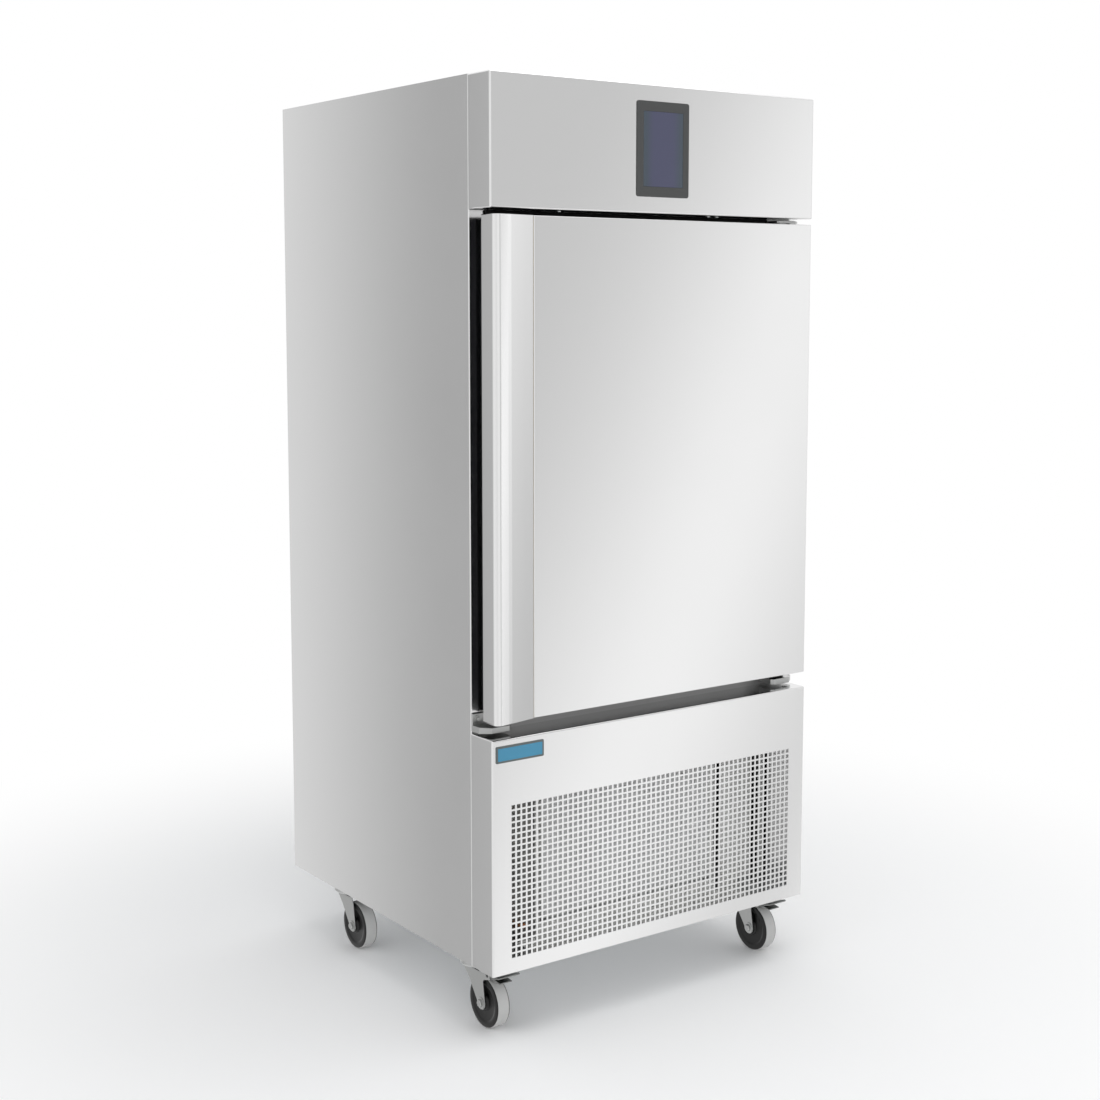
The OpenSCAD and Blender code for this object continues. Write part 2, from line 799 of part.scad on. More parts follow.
// Light casing round the condenser, drawn in to the fan's mouth at the back
module condenser_shroud() {
  t = 2;
  color([0.85, 0.85, 0.86]) {
    difference() {
      span([-cond_w / 2, cond_y, cond_z0], [cond_w / 2, shroud_y + shroud_d, cond_z1]);
      span([-cond_w / 2 + t, cond_y - 1, cond_z0 + t],
           [cond_w / 2 - t, shroud_y + shroud_d - t, cond_z1 - t]);
      translate([0, shroud_y, cond_mid]) rotate([-90, 0, 0]) cylinder(d = cond_fan_d + 12, h = shroud_d + 1);
      for (z = [cond_tube_z0, cond_tube_z1])
        translate([-cond_w / 2 - 1, cond_y + cond_d / 2, z]) rotate([0, 90, 0])
          cylinder(d = pipe_d + 2 * hole_gap, h = 2 * t);
    }
    for (sx = [-1, 1]) span([sx * (cond_w / 2 - 10) - 10, cond_y + 10, deck_z],
                            [sx * (cond_w / 2 - 10) + 10, shroud_y + shroud_d - 10, cond_z0]);
  }
}

// Motor on four arms; the axis runs along +Y from the hub's back
module fan_motor(ring_r, arm_back, reach) {
  rotate([-90, 0, 0]) {
    cylinder(d = motor_d, h = motor_l);
    translate([0, 0, -motor_gap - fan_hub_t + 4]) cylinder(d = shaft_d, h = motor_gap + fan_hub_t);
  }
  for (a = [45:90:315]) rotate([0, a, 0]) {
    span([motor_d / 2 - 2, arm_back, -8], [ring_r + 4, arm_back + 4, 8]);
    translate([ring_r, -reach, 0]) rotate([-90, 0, 0]) cylinder(d = 8, h = reach + arm_back + eps);
  }
}

module fan(d) {
  blades = 5;
  blade_w = 66;
  r0 = fan_hub_d / 2 - 3;
  rotate([-90, 0, 0]) difference() {
    union() {
      cylinder(d = fan_hub_d, h = fan_hub_t);
      for (i = [0:blades - 1]) rotate([0, 0, i * 360 / blades])
        translate([r0, 0, fan_hub_t / 2]) rotate([20, 0, 0]) linear_extrude(height = 1.6, center = true)
          polygon(concat(
            [[0, -blade_w / 4], [(d / 2 - r0) * 0.8, -blade_w / 2]],
            arc(0, 0, d / 2 - r0, -blade_w / 4.4, blade_w / 5, 5),
            [[0, blade_w / 4]]
          ));
    }
    translate([0, 0, -1]) cylinder(d = shaft_d + 2 * run_gap, h = fan_hub_t + 2);
  }
}

module condenser_motor() {
  color([0.12, 0.12, 0.13]) translate([0, cond_fan_y + fan_hub_t + motor_gap, cond_mid])
    fan_motor(cond_fan_d / 2 + 14, 12, cond_fan_y + fan_hub_t + motor_gap - shroud_y - shroud_d);
}

module condenser_fan() {
  color([0.15, 0.15, 0.16]) translate([0, cond_fan_y, cond_mid]) fan(cond_fan_d - 4);
}

module liquid_receiver() {
  r = tank_d / 2;
  color([0.13, 0.13, 0.14]) translate([tank_x, tank_y, deck_z]) {
    translate([0, 0, 10]) rotate_extrude() polygon(concat(
      [[0, 0], [r - 20, 0]], arc(r - 20, 20, 20, -90, 0, 5),
      arc(r - tank_round, tank_h - 10 - tank_round, tank_round, 0, 90, 8), [[0, tank_h - 10]]
    ));
    translate([-r, -r * 0.7, 0]) cube([tank_d, 1.4 * r, 10 + eps]);
    translate([0, 0, tank_h - 4]) cylinder(d = pipe_d + 8, h = 14);
  }
}

// Copper cartridge in the liquid line, tapered to the pipe at both ends
module filter_drier() {
  r = 22;
  neck = pipe_d / 2 + 1;
  color([0.75, 0.45, 0.28]) translate([riser_x, riser_y, drier_z]) rotate_extrude()
    polygon([[0, 0], [neck, 0], [neck, 8], [r, 26], [r, drier_l - 26], [neck, drier_l - 8],
             [neck, drier_l], [0, drier_l]]);
}

module straight(a, b) {
  d = b - a;
  l = norm(d);
  translate(a) rotate([0, acos(d[2] / l), atan2(d[1], d[0])]) cylinder(d = pipe_d, h = l);
}

// Straight lengths brazed into round elbows
module pipe(pts) {
  for (i = [0:len(pts) - 2]) straight(pts[i], pts[i + 1]);
  for (i = [1:1:len(pts) - 2]) translate(pts[i]) sphere(d = pipe_d + 3);
}

module refrigerant_pipes() {
  coil_y0 = cond_y + cond_d / 2;
  coil_x = -cond_core_w / 2 - 1;
  hot_z = cond_z1 + pipe_rise;
  cold_z = hot_z - pipe_step;
  tank_front = tank_y - tank_d / 2;
  feed_z = deck_z + feed_h;
  evap_x = -coil_w / 2 - 1;
  color([0.78, 0.48, 0.3]) {
    // discharge line, from the compressor's top over to the condenser
    pipe([[comp_x, comp_y, deck_z + comp_h], [comp_x, comp_y, hot_z], [cond_pipe_x, comp_y, hot_z],
          [cond_pipe_x, coil_y0, hot_z], [cond_pipe_x, coil_y0, cond_tube_z1],
          [coil_x, coil_y0, cond_tube_z1]]);
    // condenser's outlet to the receiver
    pipe([[coil_x, coil_y0, cond_tube_z0], [cond_pipe_x, coil_y0, cond_tube_z0],
          [cond_pipe_x, tank_front - tank_lead, cond_tube_z0], [tank_x, tank_front - tank_lead, cond_tube_z0],
          [tank_x, tank_front, cond_tube_z0]]);
    // liquid line, from the receiver through the drier and up to the evaporator
    pipe([[tank_x, tank_y + tank_d / 2, feed_z], [riser_x, riser_y, feed_z], [riser_x, riser_y, drier_z]]);
    pipe([[riser_x, riser_y, drier_z + drier_l], [riser_x, riser_y, coil_tube_z0],
          [riser_x, coil_y, coil_tube_z0], [evap_x, coil_y, coil_tube_z0]]);
    // suction line, from the evaporator back down to the compressor
    pipe([[evap_x, coil_y, coil_tube_z1], [riser_x, coil_y, coil_tube_z1], [riser_x, riser_y, coil_tube_z1],
          [suction_x, riser_y, coil_tube_z1], [suction_x, riser_y, cold_z], [suction_x, comp_y, cold_z],
          [comp_x - 20, comp_y, cold_z], [comp_x - 20, comp_y, deck_z + comp_h]]);
  }
}

// ---------- evaporator ----------

module evaporator_coil() {
  y0 = room_back - coil_gap - coil_d;
  color([0.74, 0.75, 0.77]) {
    translate([0, y0, coil_z0]) coil(coil_w, coil_d, coil_h, 20, coil_tubes);
    for (sx = [-1, 1]) span([sx * (coil_w / 2 - 6) - 6, room_back - coil_gap - eps, coil_z0],
                            [sx * (coil_w / 2 - 6) + 6, room_back, coil_z0 + coil_h]);
  }
}

module fan_cover() {
  color([0.8, 0.8, 0.81]) {
    upright(cover_y, cover_y + cover_t) difference() {
      translate([-cover_w / 2, room_z0]) square([cover_w, room_h]);
      for (z = fan_zs) translate([0, z]) circle(d = opening_d);
    }
    for (z = [room_z0, room_z1 - cover_t])
      span([-cover_w / 2, cover_y, z], [cover_w / 2, cover_y + cover_flange, z + cover_t]);
    for (sx = [-1, 1]) translate([sx * (cover_w - cover_t) / 2 - cover_t / 2, cover_y, room_z0])
      cube([cover_t, cover_flange, room_h]);
  }
}

module fan_guards() {
  rings = 5;
  bar = 3.2;
  color([0.8, 0.8, 0.82]) upright(cover_y - guard_t, cover_y) for (z = fan_zs) translate([0, z]) {
    for (i = [1:rings]) difference() {
      circle(d = (opening_d + 10) * i / rings);
      circle(d = (opening_d + 10) * i / rings - 2 * bar);
    }
    for (a = [0, 90]) rotate(a) square([opening_d + 8, bar * 2], center = true);
  }
}

module evaporator_motors() {
  y0 = cover_y + cover_t + fan_front + fan_hub_t + motor_gap;
  color([0.2, 0.2, 0.21]) for (z = fan_zs) translate([0, y0, z])
    fan_motor(mount_ring, 8, y0 - cover_y - cover_t);
}

module evaporator_fan(i) {
  color([0.25, 0.25, 0.26]) translate([0, cover_y + cover_t + fan_front, fan_zs[i]]) fan(evap_fan_d);
}

// Two lift-off ladder racks: shelf strips and guide strips spot-welded to square posts
module tray_racks() {
  strip_t = 1.5;
  guide_h = 12;
  studs = [80, rack_h - 80];
  foot_gap = 6;
  color([0.83, 0.83, 0.84]) for (sx = [-1, 1]) mirror([sx < 0 ? 1 : 0, 0, 0])
    translate([post_x, rack_y0, room_z0]) {
      for (y = [post_in, runner_l - post_in - post]) {
        translate([0, y, foot_gap]) cube([post, post, rack_h - foot_gap]);
        for (z = studs) translate([post + weld_gap, y + post / 2, z]) rotate([0, 90, 0])
          cylinder(d = 10, h = stud_l - weld_gap);
      }
      for (i = [0:levels - 1]) translate([0, 0, rack_foot + i * level_pitch]) {
        translate([-runner_w, 0, 0]) cube([runner_w - weld_gap, runner_l, strip_t]);
        translate([-strip_t - weld_gap, 0, strip_t + weld_gap]) cube([strip_t, runner_l, guide_h]);
      }
    }
}

// ---------- casters ----------

module caster_plates() {
  color([0.1, 0.1, 0.11]) on_casters() {
    difference() {
      translate([-plate_w / 2, -plate_l / 2, plate_z0]) cube([plate_w, plate_l, plate_t]);
      plate_bolts() translate([0, 0, plate_z0 - 1]) cylinder(d = bolt_d + 2 * hole_gap, h = plate_t + 2);
    }
    translate([0, 0, crown_z0 - part_gap - nut_t]) cylinder(d = king_d, h = plate_z0 - crown_z0 + part_gap + nut_t + 1);
    translate([0, 0, crown_z0 - part_gap - nut_t]) cylinder(d = 24, h = nut_t);
  }
}

module caster_bolts() {
  nut = 6;
  color([0.75, 0.75, 0.76]) on_casters() plate_bolts() {
    translate([0, 0, plate_z0 - head_t]) cylinder(d = bolt_d * 1.7, h = head_t, $fn = 6);
    translate([0, 0, plate_z0 - head_t + 1]) cylinder(d = bolt_d, h = plate_t + base_t + nut + head_t);
    translate([0, 0, deck_z]) cylinder(d = bolt_d * 1.7, h = nut, $fn = 6);
  }
}

// Side view of a fork leg: broad under the crown, drawn in to the axle
module leg_outline(braked) {
  difference() {
    union() {
      polygon([[-trail - 13, axle_z], [-trail + 13, axle_z], [4, crown_z0 - 22], [26, crown_z0],
               [30, leg_z1], [-34, leg_z1], [-44, crown_z0 - 18]]);
      translate([-trail, axle_z]) circle(r = 13);
      if (braked) polygon([[-34, leg_z1], [pedal_y - 6, leg_z1 - 2], [pedal_y - 8, pedal_z - 7], [-40, crown_z0 - 12]]);
    }
    translate([-trail, axle_z]) circle(d = axle_d);
    if (braked) translate([pedal_y, pedal_z]) circle(d = pedal_pin_d);
  }
}

// Pressed fork with its ball-race crown, axle bolt and, at the front, the pedal's pin
module caster_fork(braked) {
  axle_l = 2 * (leg_in + leg_t) + 6;
  color([0.72, 0.72, 0.73]) {
    difference() {
      union() {
        for (sx = [-1, 1]) translate([sx * (leg_in + leg_t / 2) - leg_t / 2, 0, 0])
          rotate([90, 0, 90]) linear_extrude(height = leg_t) leg_outline(braked);
        span([-leg_in - leg_t, -34, crown_z0], [leg_in + leg_t, 29, crown_z0 + 4]);
        translate([0, 0, crown_z0 + 4 - eps]) cylinder(d1 = crown_d - 14, d2 = crown_d, h = 5);
        translate([0, 0, crown_z0 + 9 - 2 * eps]) cylinder(d = crown_d, h = crown_t - 9 + 2 * eps);
      }
      translate([0, 0, crown_z0 - 1]) cylinder(d = king_d + 2 * run_gap, h = crown_t + 2);
    }
    translate([-axle_l / 2, -trail, axle_z]) rotate([0, 90, 0]) cylinder(d = axle_d, h = axle_l);
    for (sx = [-1, 1]) translate([sx * (leg_in + leg_t + 2), -trail, axle_z]) rotate([0, 90, 0])
      translate([0, 0, -2]) cylinder(d = 18, h = 4);
    if (braked) translate([-leg_in - leg_t, pedal_y, pedal_z]) rotate([0, 90, 0])
      cylinder(d = pedal_pin_d, h = 2 * (leg_in + leg_t));
  }
}

// Half section of the wheel: bored hub, dished web and rims that hold the tread
module wheel_core() {
  hw = wheel_w / 2;
  tread_hw = hw - 2;
  bore = axle_d / 2 + run_gap;
  color([0.07, 0.07, 0.07]) translate([0, -trail, axle_z]) rotate([0, 90, 0]) rotate_extrude()
    polygon([
      [bore, -hub_w / 2], [15, -hub_w / 2], [17, -hw + 2], [36, -hw + 2], [39, -hw],
      [wheel_d / 2 - 2.5, -hw], [wheel_d / 2 - 1, -hw + 1.2], [wheel_d / 2 - 1, -tread_hw],
      [wheel_d / 2 - 7, -tread_hw], [wheel_d / 2 - 7, tread_hw], [wheel_d / 2 - 1, tread_hw],
      [wheel_d / 2 - 1, hw - 1.2], [wheel_d / 2 - 2.5, hw],
      [39, hw], [36, hw - 2], [17, hw - 2], [15, hub_w / 2], [bore, hub_w / 2]
    ]);
}

module wheel_tread() {
  tread_hw = wheel_w / 2 - 2;
  color([0.55, 0.55, 0.55]) translate([0, -trail, axle_z]) rotate([0, 90, 0]) rotate_extrude()
    polygon([
      [wheel_d / 2 - 7, -tread_hw], [wheel_d / 2 - 1, -tread_hw], [wheel_d / 2, -tread_hw + 2],
      [wheel_d / 2, tread_hw - 2], [wheel_d / 2 - 1, tread_hw], [wheel_d / 2 - 7, tread_hw]
    ]);
}

// Rocker with a broad upper tongue and a short lower one
module brake_pedal() {
  hub_len = 2 * leg_in - 1;
  t = 3;
  side = pedal_w / 2;
  color([0.45, 0.45, 0.46]) difference() {
    union() {
      translate([-hub_len / 2, pedal_y, pedal_z]) rotate([0, 90, 0]) cylinder(d = pedal_hub_d, h = hub_len);
      translate([-side, 0, 0]) rotate([90, 0, 90]) linear_extrude(height = pedal_w)
        polygon([[pedal_y - 14, pedal_z + 2], [pedal_front, pedal_z + 8], [pedal_front, pedal_z + 8 + t],
                 [pedal_y - 14, pedal_z + 2 + t]]);
      translate([-leg_in + 1, 0, 0]) rotate([90, 0, 90]) linear_extrude(height = 2 * leg_in - 2)
        polygon([[pedal_y, pedal_z], [pedal_y - 15, pedal_z + 1.5], [pedal_y - 15, pedal_z + 2 + t],
                 [pedal_y, pedal_z + 2 + t]]);
      translate([-side + 8, 0, 0]) rotate([90, 0, 90]) linear_extrude(height = pedal_w * 0.56)
        polygon([[pedal_y, pedal_z - 5], [pedal_front + 6, pedal_z - 6], [pedal_front + 6, pedal_z - 6 + t],
                 [pedal_y, pedal_z - 2 + t]]);
    }
    translate([-hub_len / 2 - 1, pedal_y, pedal_z]) rotate([0, 90, 0])
      cylinder(d = pedal_pin_d + 2 * run_gap, h = hub_len + 2);
  }
}

module at_fl() { translate([-caster_x, caster_y0, 0]) children(); }
module at_fr() { translate([caster_x, caster_y0, 0]) children(); }
module at_rl() { translate([-caster_x, caster_y1, 0]) children(); }
module at_rr() { translate([caster_x, caster_y1, 0]) children(); }

// ---------- nodes ----------

side_panel(-1);  // left_side_panel
side_panel(1);  // right_side_panel
top_panel();
rear_panel();
rear_louvre_panel();
face_rails();
insulation();
chamber_liner();
breaker_frame();
head_fascia();
display_bezel();
display_screen();
control_box();
lower_panel();
badge_plate();
base_frame();
compressor();
condenser_coil();
condenser_shroud();
condenser_motor();
condenser_fan();
liquid_receiver();
filter_drier();
refrigerant_pipes();
evaporator_coil();
fan_cover();
fan_guards();
evaporator_motors();
evaporator_fan(1);  // evaporator_fan_upper
evaporator_fan(0);  // evaporator_fan_lower
tray_racks();
hinge_brackets();
spare_hinge_bracket();
hinge_pins();
door_closer();
door_skin();
door_handle();
door_core();
door_frame();
door_liner();
door_gasket();
door_bushes();
cable_gland();
caster_plates();
caster_bolts();
at_fl() caster_fork(true);  // caster_fork_fl
at_fr() caster_fork(true);  // caster_fork_fr
at_rl() caster_fork(false);  // caster_fork_rl
at_rr() caster_fork(false);  // caster_fork_rr
at_fl() wheel_core();  // wheel_core_fl
at_fr() wheel_core();  // wheel_core_fr
at_rl() wheel_core();  // wheel_core_rl
at_rr() wheel_core();  // wheel_core_rr
at_fl() wheel_tread();  // wheel_tread_fl
at_fr() wheel_tread();  // wheel_tread_fr
at_rl() wheel_tread();  // wheel_tread_rl
at_rr() wheel_tread();  // wheel_tread_rr
at_fl() brake_pedal();  // brake_pedal_fl
at_fr() brake_pedal();  // brake_pedal_fr
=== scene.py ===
import bpy
import bmesh
from math import cos, pi, radians, sin
from mathutils import Matrix, Vector


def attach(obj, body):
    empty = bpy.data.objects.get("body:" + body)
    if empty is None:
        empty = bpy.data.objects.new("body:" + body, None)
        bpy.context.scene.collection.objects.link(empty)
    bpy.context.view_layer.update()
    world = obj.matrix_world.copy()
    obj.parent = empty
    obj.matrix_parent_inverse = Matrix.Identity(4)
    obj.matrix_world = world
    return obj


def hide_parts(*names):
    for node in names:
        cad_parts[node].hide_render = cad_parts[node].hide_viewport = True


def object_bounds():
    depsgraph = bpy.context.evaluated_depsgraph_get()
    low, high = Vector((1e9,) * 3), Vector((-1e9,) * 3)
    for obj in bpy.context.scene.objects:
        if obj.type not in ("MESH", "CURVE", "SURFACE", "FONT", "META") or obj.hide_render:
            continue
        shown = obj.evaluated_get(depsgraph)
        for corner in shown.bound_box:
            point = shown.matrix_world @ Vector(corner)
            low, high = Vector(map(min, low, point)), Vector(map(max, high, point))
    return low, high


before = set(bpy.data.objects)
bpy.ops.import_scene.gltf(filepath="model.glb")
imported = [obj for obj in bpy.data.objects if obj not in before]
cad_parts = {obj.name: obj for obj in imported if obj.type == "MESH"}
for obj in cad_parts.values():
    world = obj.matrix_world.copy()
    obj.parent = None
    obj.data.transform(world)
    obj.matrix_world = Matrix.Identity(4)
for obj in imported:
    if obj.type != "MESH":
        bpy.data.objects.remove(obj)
cad_box = [list(corner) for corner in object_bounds()]

# ---------------------------------------------------------------- Studio
# The camera stands in front and to the left of the cabinet at chest height, close enough
# for strong perspective, with a small lens shift. Pale floor, white surroundings.
eye = Vector((-2.114, -2.9775, 1.395))
yaw, pitch = radians(35.59), radians(6.27)
camera_data = bpy.data.cameras.new("camera")
camera_data.sensor_width = 36
camera_data.lens = 56.4
camera_data.shift_y = -0.055
camera_data.clip_end = 60
camera = bpy.data.objects.new("camera", camera_data)
camera.location = eye
camera.rotation_euler = (pi / 2 - pitch, 0, -yaw)
bpy.context.collection.objects.link(camera)
scene = bpy.context.scene
scene.camera = camera
scene.view_settings.view_transform = "Standard"


def linear(code):
    """sRGB hex such as "c8c8c8" to the linear colour that shaders take."""
    parts = [int(code[i:i + 2], 16) / 255 for i in (0, 2, 4)]
    return tuple(p / 12.92 if p <= 0.04045 else ((p + 0.055) / 1.055) ** 2.4 for p in parts) + (1.0,)


def feed(node, **inputs):
    """Sets a shader node's inputs, each to a number, a colour or another node's socket."""
    for name, value in inputs.items():
        socket = node.inputs[int(name[1:]) if name[0] == "_" else name.replace("_", " ")]
        if isinstance(value, bpy.types.NodeSocket):
            node.id_data.links.new(value, socket)
        else:
            socket.default_value = value


def add(tree, kind, settings=None, **inputs):
    """Adds a shader node with its settings and inputs."""
    made = tree.nodes.new("ShaderNode" + kind)
    for name, value in (settings or {}).items():
        setattr(made, name, value)
    feed(made, **inputs)
    return made


def blend(tree, share, low, high):
    """Colour between two others, by a share from 0 to 1."""
    return add(tree, "Mix", {"data_type": "RGBA"}, _0=share, _6=low, _7=high).outputs[2]


def blank(name):
    """New material, its node tree and its main shader."""
    made = bpy.data.materials.new(name)
    made.use_nodes = True
    return made, made.node_tree, made.node_tree.nodes["Principled BSDF"]


world = bpy.data.worlds.new("white_studio")
scene.world = world
world.use_nodes = True
sky = world.node_tree
sky.nodes.clear()
seen = add(sky, "LightPath")
sharp_ray = add(sky, "Math", {"operation": "MAXIMUM"}, _0=seen.outputs["Is Camera Ray"],
                _1=seen.outputs["Is Glossy Ray"])
clear_ray = add(sky, "Math", {"operation": "MAXIMUM"}, _0=sharp_ray.outputs[0],
                _1=seen.outputs["Is Transmission Ray"])
soft = add(sky, "Background", Color=linear("f4f5f6"), Strength=0.82)
plain = add(sky, "Background", Color=linear("ffffff"), Strength=1.0)
which = add(sky, "MixShader", _0=clear_ray.outputs[0], _1=soft.outputs[0], _2=plain.outputs[0])
add(sky, "OutputWorld", Surface=which.outputs[0])

# White paper: it holds the shadow near the cabinet and fades into the white further out.
bpy.ops.mesh.primitive_plane_add(size=24, location=(0, 0, 0))
floor = bpy.context.object
floor.name = "floor"
paper, sheet, matt = blank("white_paper_floor")
feed(matt, Base_Color=linear("f9f9f9"), Roughness=0.9, Specular_IOR_Level=0.1)
ray = add(sheet, "LightPath")
spot = add(sheet, "TexCoord")
away = add(sheet, "VectorMath", {"operation": "LENGTH"}, _0=spot.outputs["Object"])
fade = add(sheet, "MapRange", {"interpolation_type": "SMOOTHSTEP"}, Value=away.outputs["Value"],
           From_Min=0.75, From_Max=2.0)
lit = add(sheet, "Math", {"operation": "MULTIPLY"}, _0=fade.outputs[0], _1=ray.outputs["Is Camera Ray"])
pure = add(sheet, "Emission", Color=linear("ffffff"), Strength=1.0)
front = add(sheet, "MixShader", _0=lit.outputs[0], _1=matt.outputs[0], _2=pure.outputs[0])
mirrored = add(sheet, "Math", {"operation": "MAXIMUM"}, _0=ray.outputs["Is Glossy Ray"],
               _1=ray.outputs["Is Transmission Ray"])
nothing = add(sheet, "BsdfTransparent")
whole = add(sheet, "MixShader", _0=mirrored.outputs[0], _1=front.outputs[0], _2=nothing.outputs[0])
feed(sheet.nodes["Material Output"], Surface=whole.outputs[0])
floor.data.materials.append(paper)


def lamp(name, place, aim, width, height, power):
    """Soft box: a rectangle of light that faces its aim."""
    data = bpy.data.lights.new(name, "AREA")
    data.shape = "RECTANGLE"
    data.size, data.size_y, data.energy = width, height, power
    box = bpy.data.objects.new(name, data)
    box.location = place
    box.rotation_euler = (Vector(aim) - Vector(place)).to_track_quat("-Z", "Y").to_euler()
    bpy.context.collection.objects.link(box)
    return box


lamp("overhead", (0.3, -0.6, 4.0), (0, 0, 0), 3.0, 3.0, 40)
# The fill reaches through the grille to what stands behind it, and polished metal doesn't show it.
lamp("front_fill", (-3.0, -5.5, 1.5), (0, -0.3, 0.5), 3.0, 3.0, 110).visible_glossy = False


def card(name, centre, turn, size, across, shift, stops, glow):
    """Board that only polished metal sees, graded along a line so that flat sheet shows the gradient."""
    bpy.ops.mesh.primitive_plane_add(size=1, location=centre, rotation=turn)
    board = bpy.context.object
    board.scale = (size[0], size[1], 1)
    bpy.ops.object.transform_apply(location=True, rotation=True, scale=True)
    board.name = name
    paint, tree, _ = blank(name + "_paint")
    tree.nodes.clear()
    hit = add(tree, "LightPath")
    where = add(tree, "TexCoord")
    along = add(tree, "VectorMath", {"operation": "DOT_PRODUCT"}, _0=where.outputs["Object"], _1=across)
    level = add(tree, "Math", {"operation": "ADD"}, _0=along.outputs["Value"], _1=shift)
    grade = add(tree, "ValToRGB", _0=level.outputs[0])
    marks = grade.color_ramp.elements
    marks[0].position, marks[1].position = stops[0][0], stops[-1][0]
    for place, _ in stops[1:-1]:
        marks.new(place)
    for mark, (_, value) in zip(marks, stops):
        mark.color = (value / glow, value / glow, value / glow, 1)
    shine = add(tree, "Emission", Color=grade.outputs[0], Strength=glow)
    air = add(tree, "BsdfTransparent")
    both = add(tree, "MixShader", _0=hit.outputs["Is Glossy Ray"], _1=air.outputs[0], _2=shine.outputs[0])
    add(tree, "OutputMaterial", Surface=both.outputs[0])
    board.data.materials.append(paint)


# Far boards, so that each flat mirrors one direction: a leaning band of light on the right
# for the front, and on the left a board that darkens towards the cabinet's front edge.
card("front_board", (87.0, -40.0, 0.0), (pi / 2, 0, 0), (146.0, 110.0), (0.01802, 0, -0.00883), -0.39497,
     [(0.0, 0.70), (0.09, 0.685), (0.138, 0.77), (0.158, 0.83), (0.18, 0.885), (0.202, 0.97), (0.23, 1.06),
      (0.26, 1.18), (0.275, 1.21), (0.31, 1.21), (0.323, 1.15), (0.348, 1.05), (0.384, 0.95), (0.40, 0.87),
      (0.43, 0.70), (0.47, 0.60), (0.495, 1.1), (0.53, 1.38), (0.57, 1.4), (0.60, 1.22), (0.64, 0.98),
      (0.70, 0.95), (0.715, 0.93), (0.756, 0.80), (0.797, 0.71), (0.838, 0.69), (0.87, 0.60), (1.0, 0.56)],
     1.4)
card("left_board", (-40.0, 40.0, 0.0), (pi / 2, 0, pi / 2), (200.0, 110.0), (0, 0.005, 0), 0.3,
     [(0.0, 0.9), (0.36, 1.02), (0.45, 0.9), (0.52, 0.66), (0.587, 0.60), (0.602, 0.42), (0.6108, 0.34),
      (0.626, 0.47), (0.644, 0.60), (0.664, 0.705), (0.6855, 0.83), (0.71, 0.96), (0.75, 1.02)], 1.35)

# ---------------------------------------------------------------- Cabinet sheets
# Side, top and rear are folded from 1.2 mm stainless sheet, satin brushed, then hung on
# the foamed body. The brushing is so fine that from here it only softens what it mirrors.
MM = 0.001
sheet_t = 1.2
half_w, back, top_z = [round(size / MM, 1) for size in cad_box[1]]
front, face, body_z = -392.5, -321.5, 135


def stainless(name, shade, rough, grain=(1.6, 1.6, 0.03)):
    """Brushed stainless steel. Grain is in lines per mm along X, Y and Z, drawn coarse enough to show."""
    finish, tree, shader = blank(name)
    place = add(tree, "TexCoord")
    along = add(tree, "Mapping", Vector=place.outputs["Object"], Scale=tuple(1000 * g for g in grain))
    lines = add(tree, "TexNoise", Vector=along.outputs[0], Scale=1.0, Detail=4.0, Roughness=0.6)
    cloud = add(tree, "TexNoise", Vector=place.outputs["Object"], Scale=4.0, Detail=2.0)
    both = add(tree, "Math", {"operation": "MULTIPLY_ADD"}, _0=cloud.outputs[0], _1=0.4, _2=lines.outputs[0])
    tone = add(tree, "MapRange", Value=both.outputs[0], From_Min=0.4, From_Max=1.0,
               To_Min=rough * 0.85, To_Max=rough * 1.15)
    dark = tuple(c * 0.94 for c in linear(shade)[:3]) + (1.0,)
    tint = blend(tree, lines.outputs[0], dark, linear(shade))
    groove = add(tree, "Bump", Strength=0.08, Distance=0.04 * MM, Height=lines.outputs[0])
    feed(shader, Metallic=1.0, Base_Color=tint, Roughness=tone.outputs[0], Normal=groove.outputs[0])
    return finish


def clear():
    """Leaves edit mode and deselects everything."""
    if bpy.context.object and bpy.context.object.mode != "OBJECT":
        bpy.ops.object.mode_set(mode="OBJECT")
    bpy.ops.object.select_all(action="DESELECT")


def settle(piece, name):
    """Names a new piece and puts its place into its mesh."""
    clear()
    piece.select_set(True)
    bpy.context.view_layer.objects.active = piece
    bpy.ops.object.transform_apply(location=True, rotation=True, scale=True)
    piece.name = piece.data.name = name
    return piece


def block(name, low, high):
    """Cube primitive between two corners, in mm."""
    clear()
    bpy.ops.mesh.primitive_cube_add(size=1, location=[(a + b) / 2 * MM for a, b in zip(low, high)],
                                    scale=[(b - a) * MM for a, b in zip(low, high)])
    return settle(bpy.context.object, name)


def twin(piece):
    """A second piece with a mesh of its own."""
    made = piece.copy()
    made.data = piece.data.copy()
    bpy.context.collection.objects.link(made)
    return made


def trace(name, path):
    """Line of edges through points in mm, left selected in edit mode."""
    clear()
    bpy.ops.mesh.primitive_plane_add(size=0.01)
    piece = settle(bpy.context.object, name)
    bpy.ops.object.mode_set(mode="EDIT")
    bpy.ops.mesh.select_mode(type="VERT")
    bpy.ops.mesh.select_all(action="SELECT")
    bpy.ops.mesh.merge(type="CENTER")
    bpy.ops.mesh.select_all(action="SELECT")
    bpy.ops.transform.translate(value=Vector(path[0]) * MM)
    for here, there in zip(path, path[1:]):
        step = (Vector(there) - Vector(here)) * MM
        bpy.ops.mesh.extrude_vertices_move(TRANSFORM_OT_translate={"value": step})
    bpy.ops.mesh.select_all(action="SELECT")
    return piece


def across_axis(axis, spot, along):
    """Point in mm from a spot in the plane across an axis and a place along that axis."""
    a, b = spot
    return Vector({"X": (along, a, b), "Y": (a, along, b), "Z": (a, b, along)}[axis])


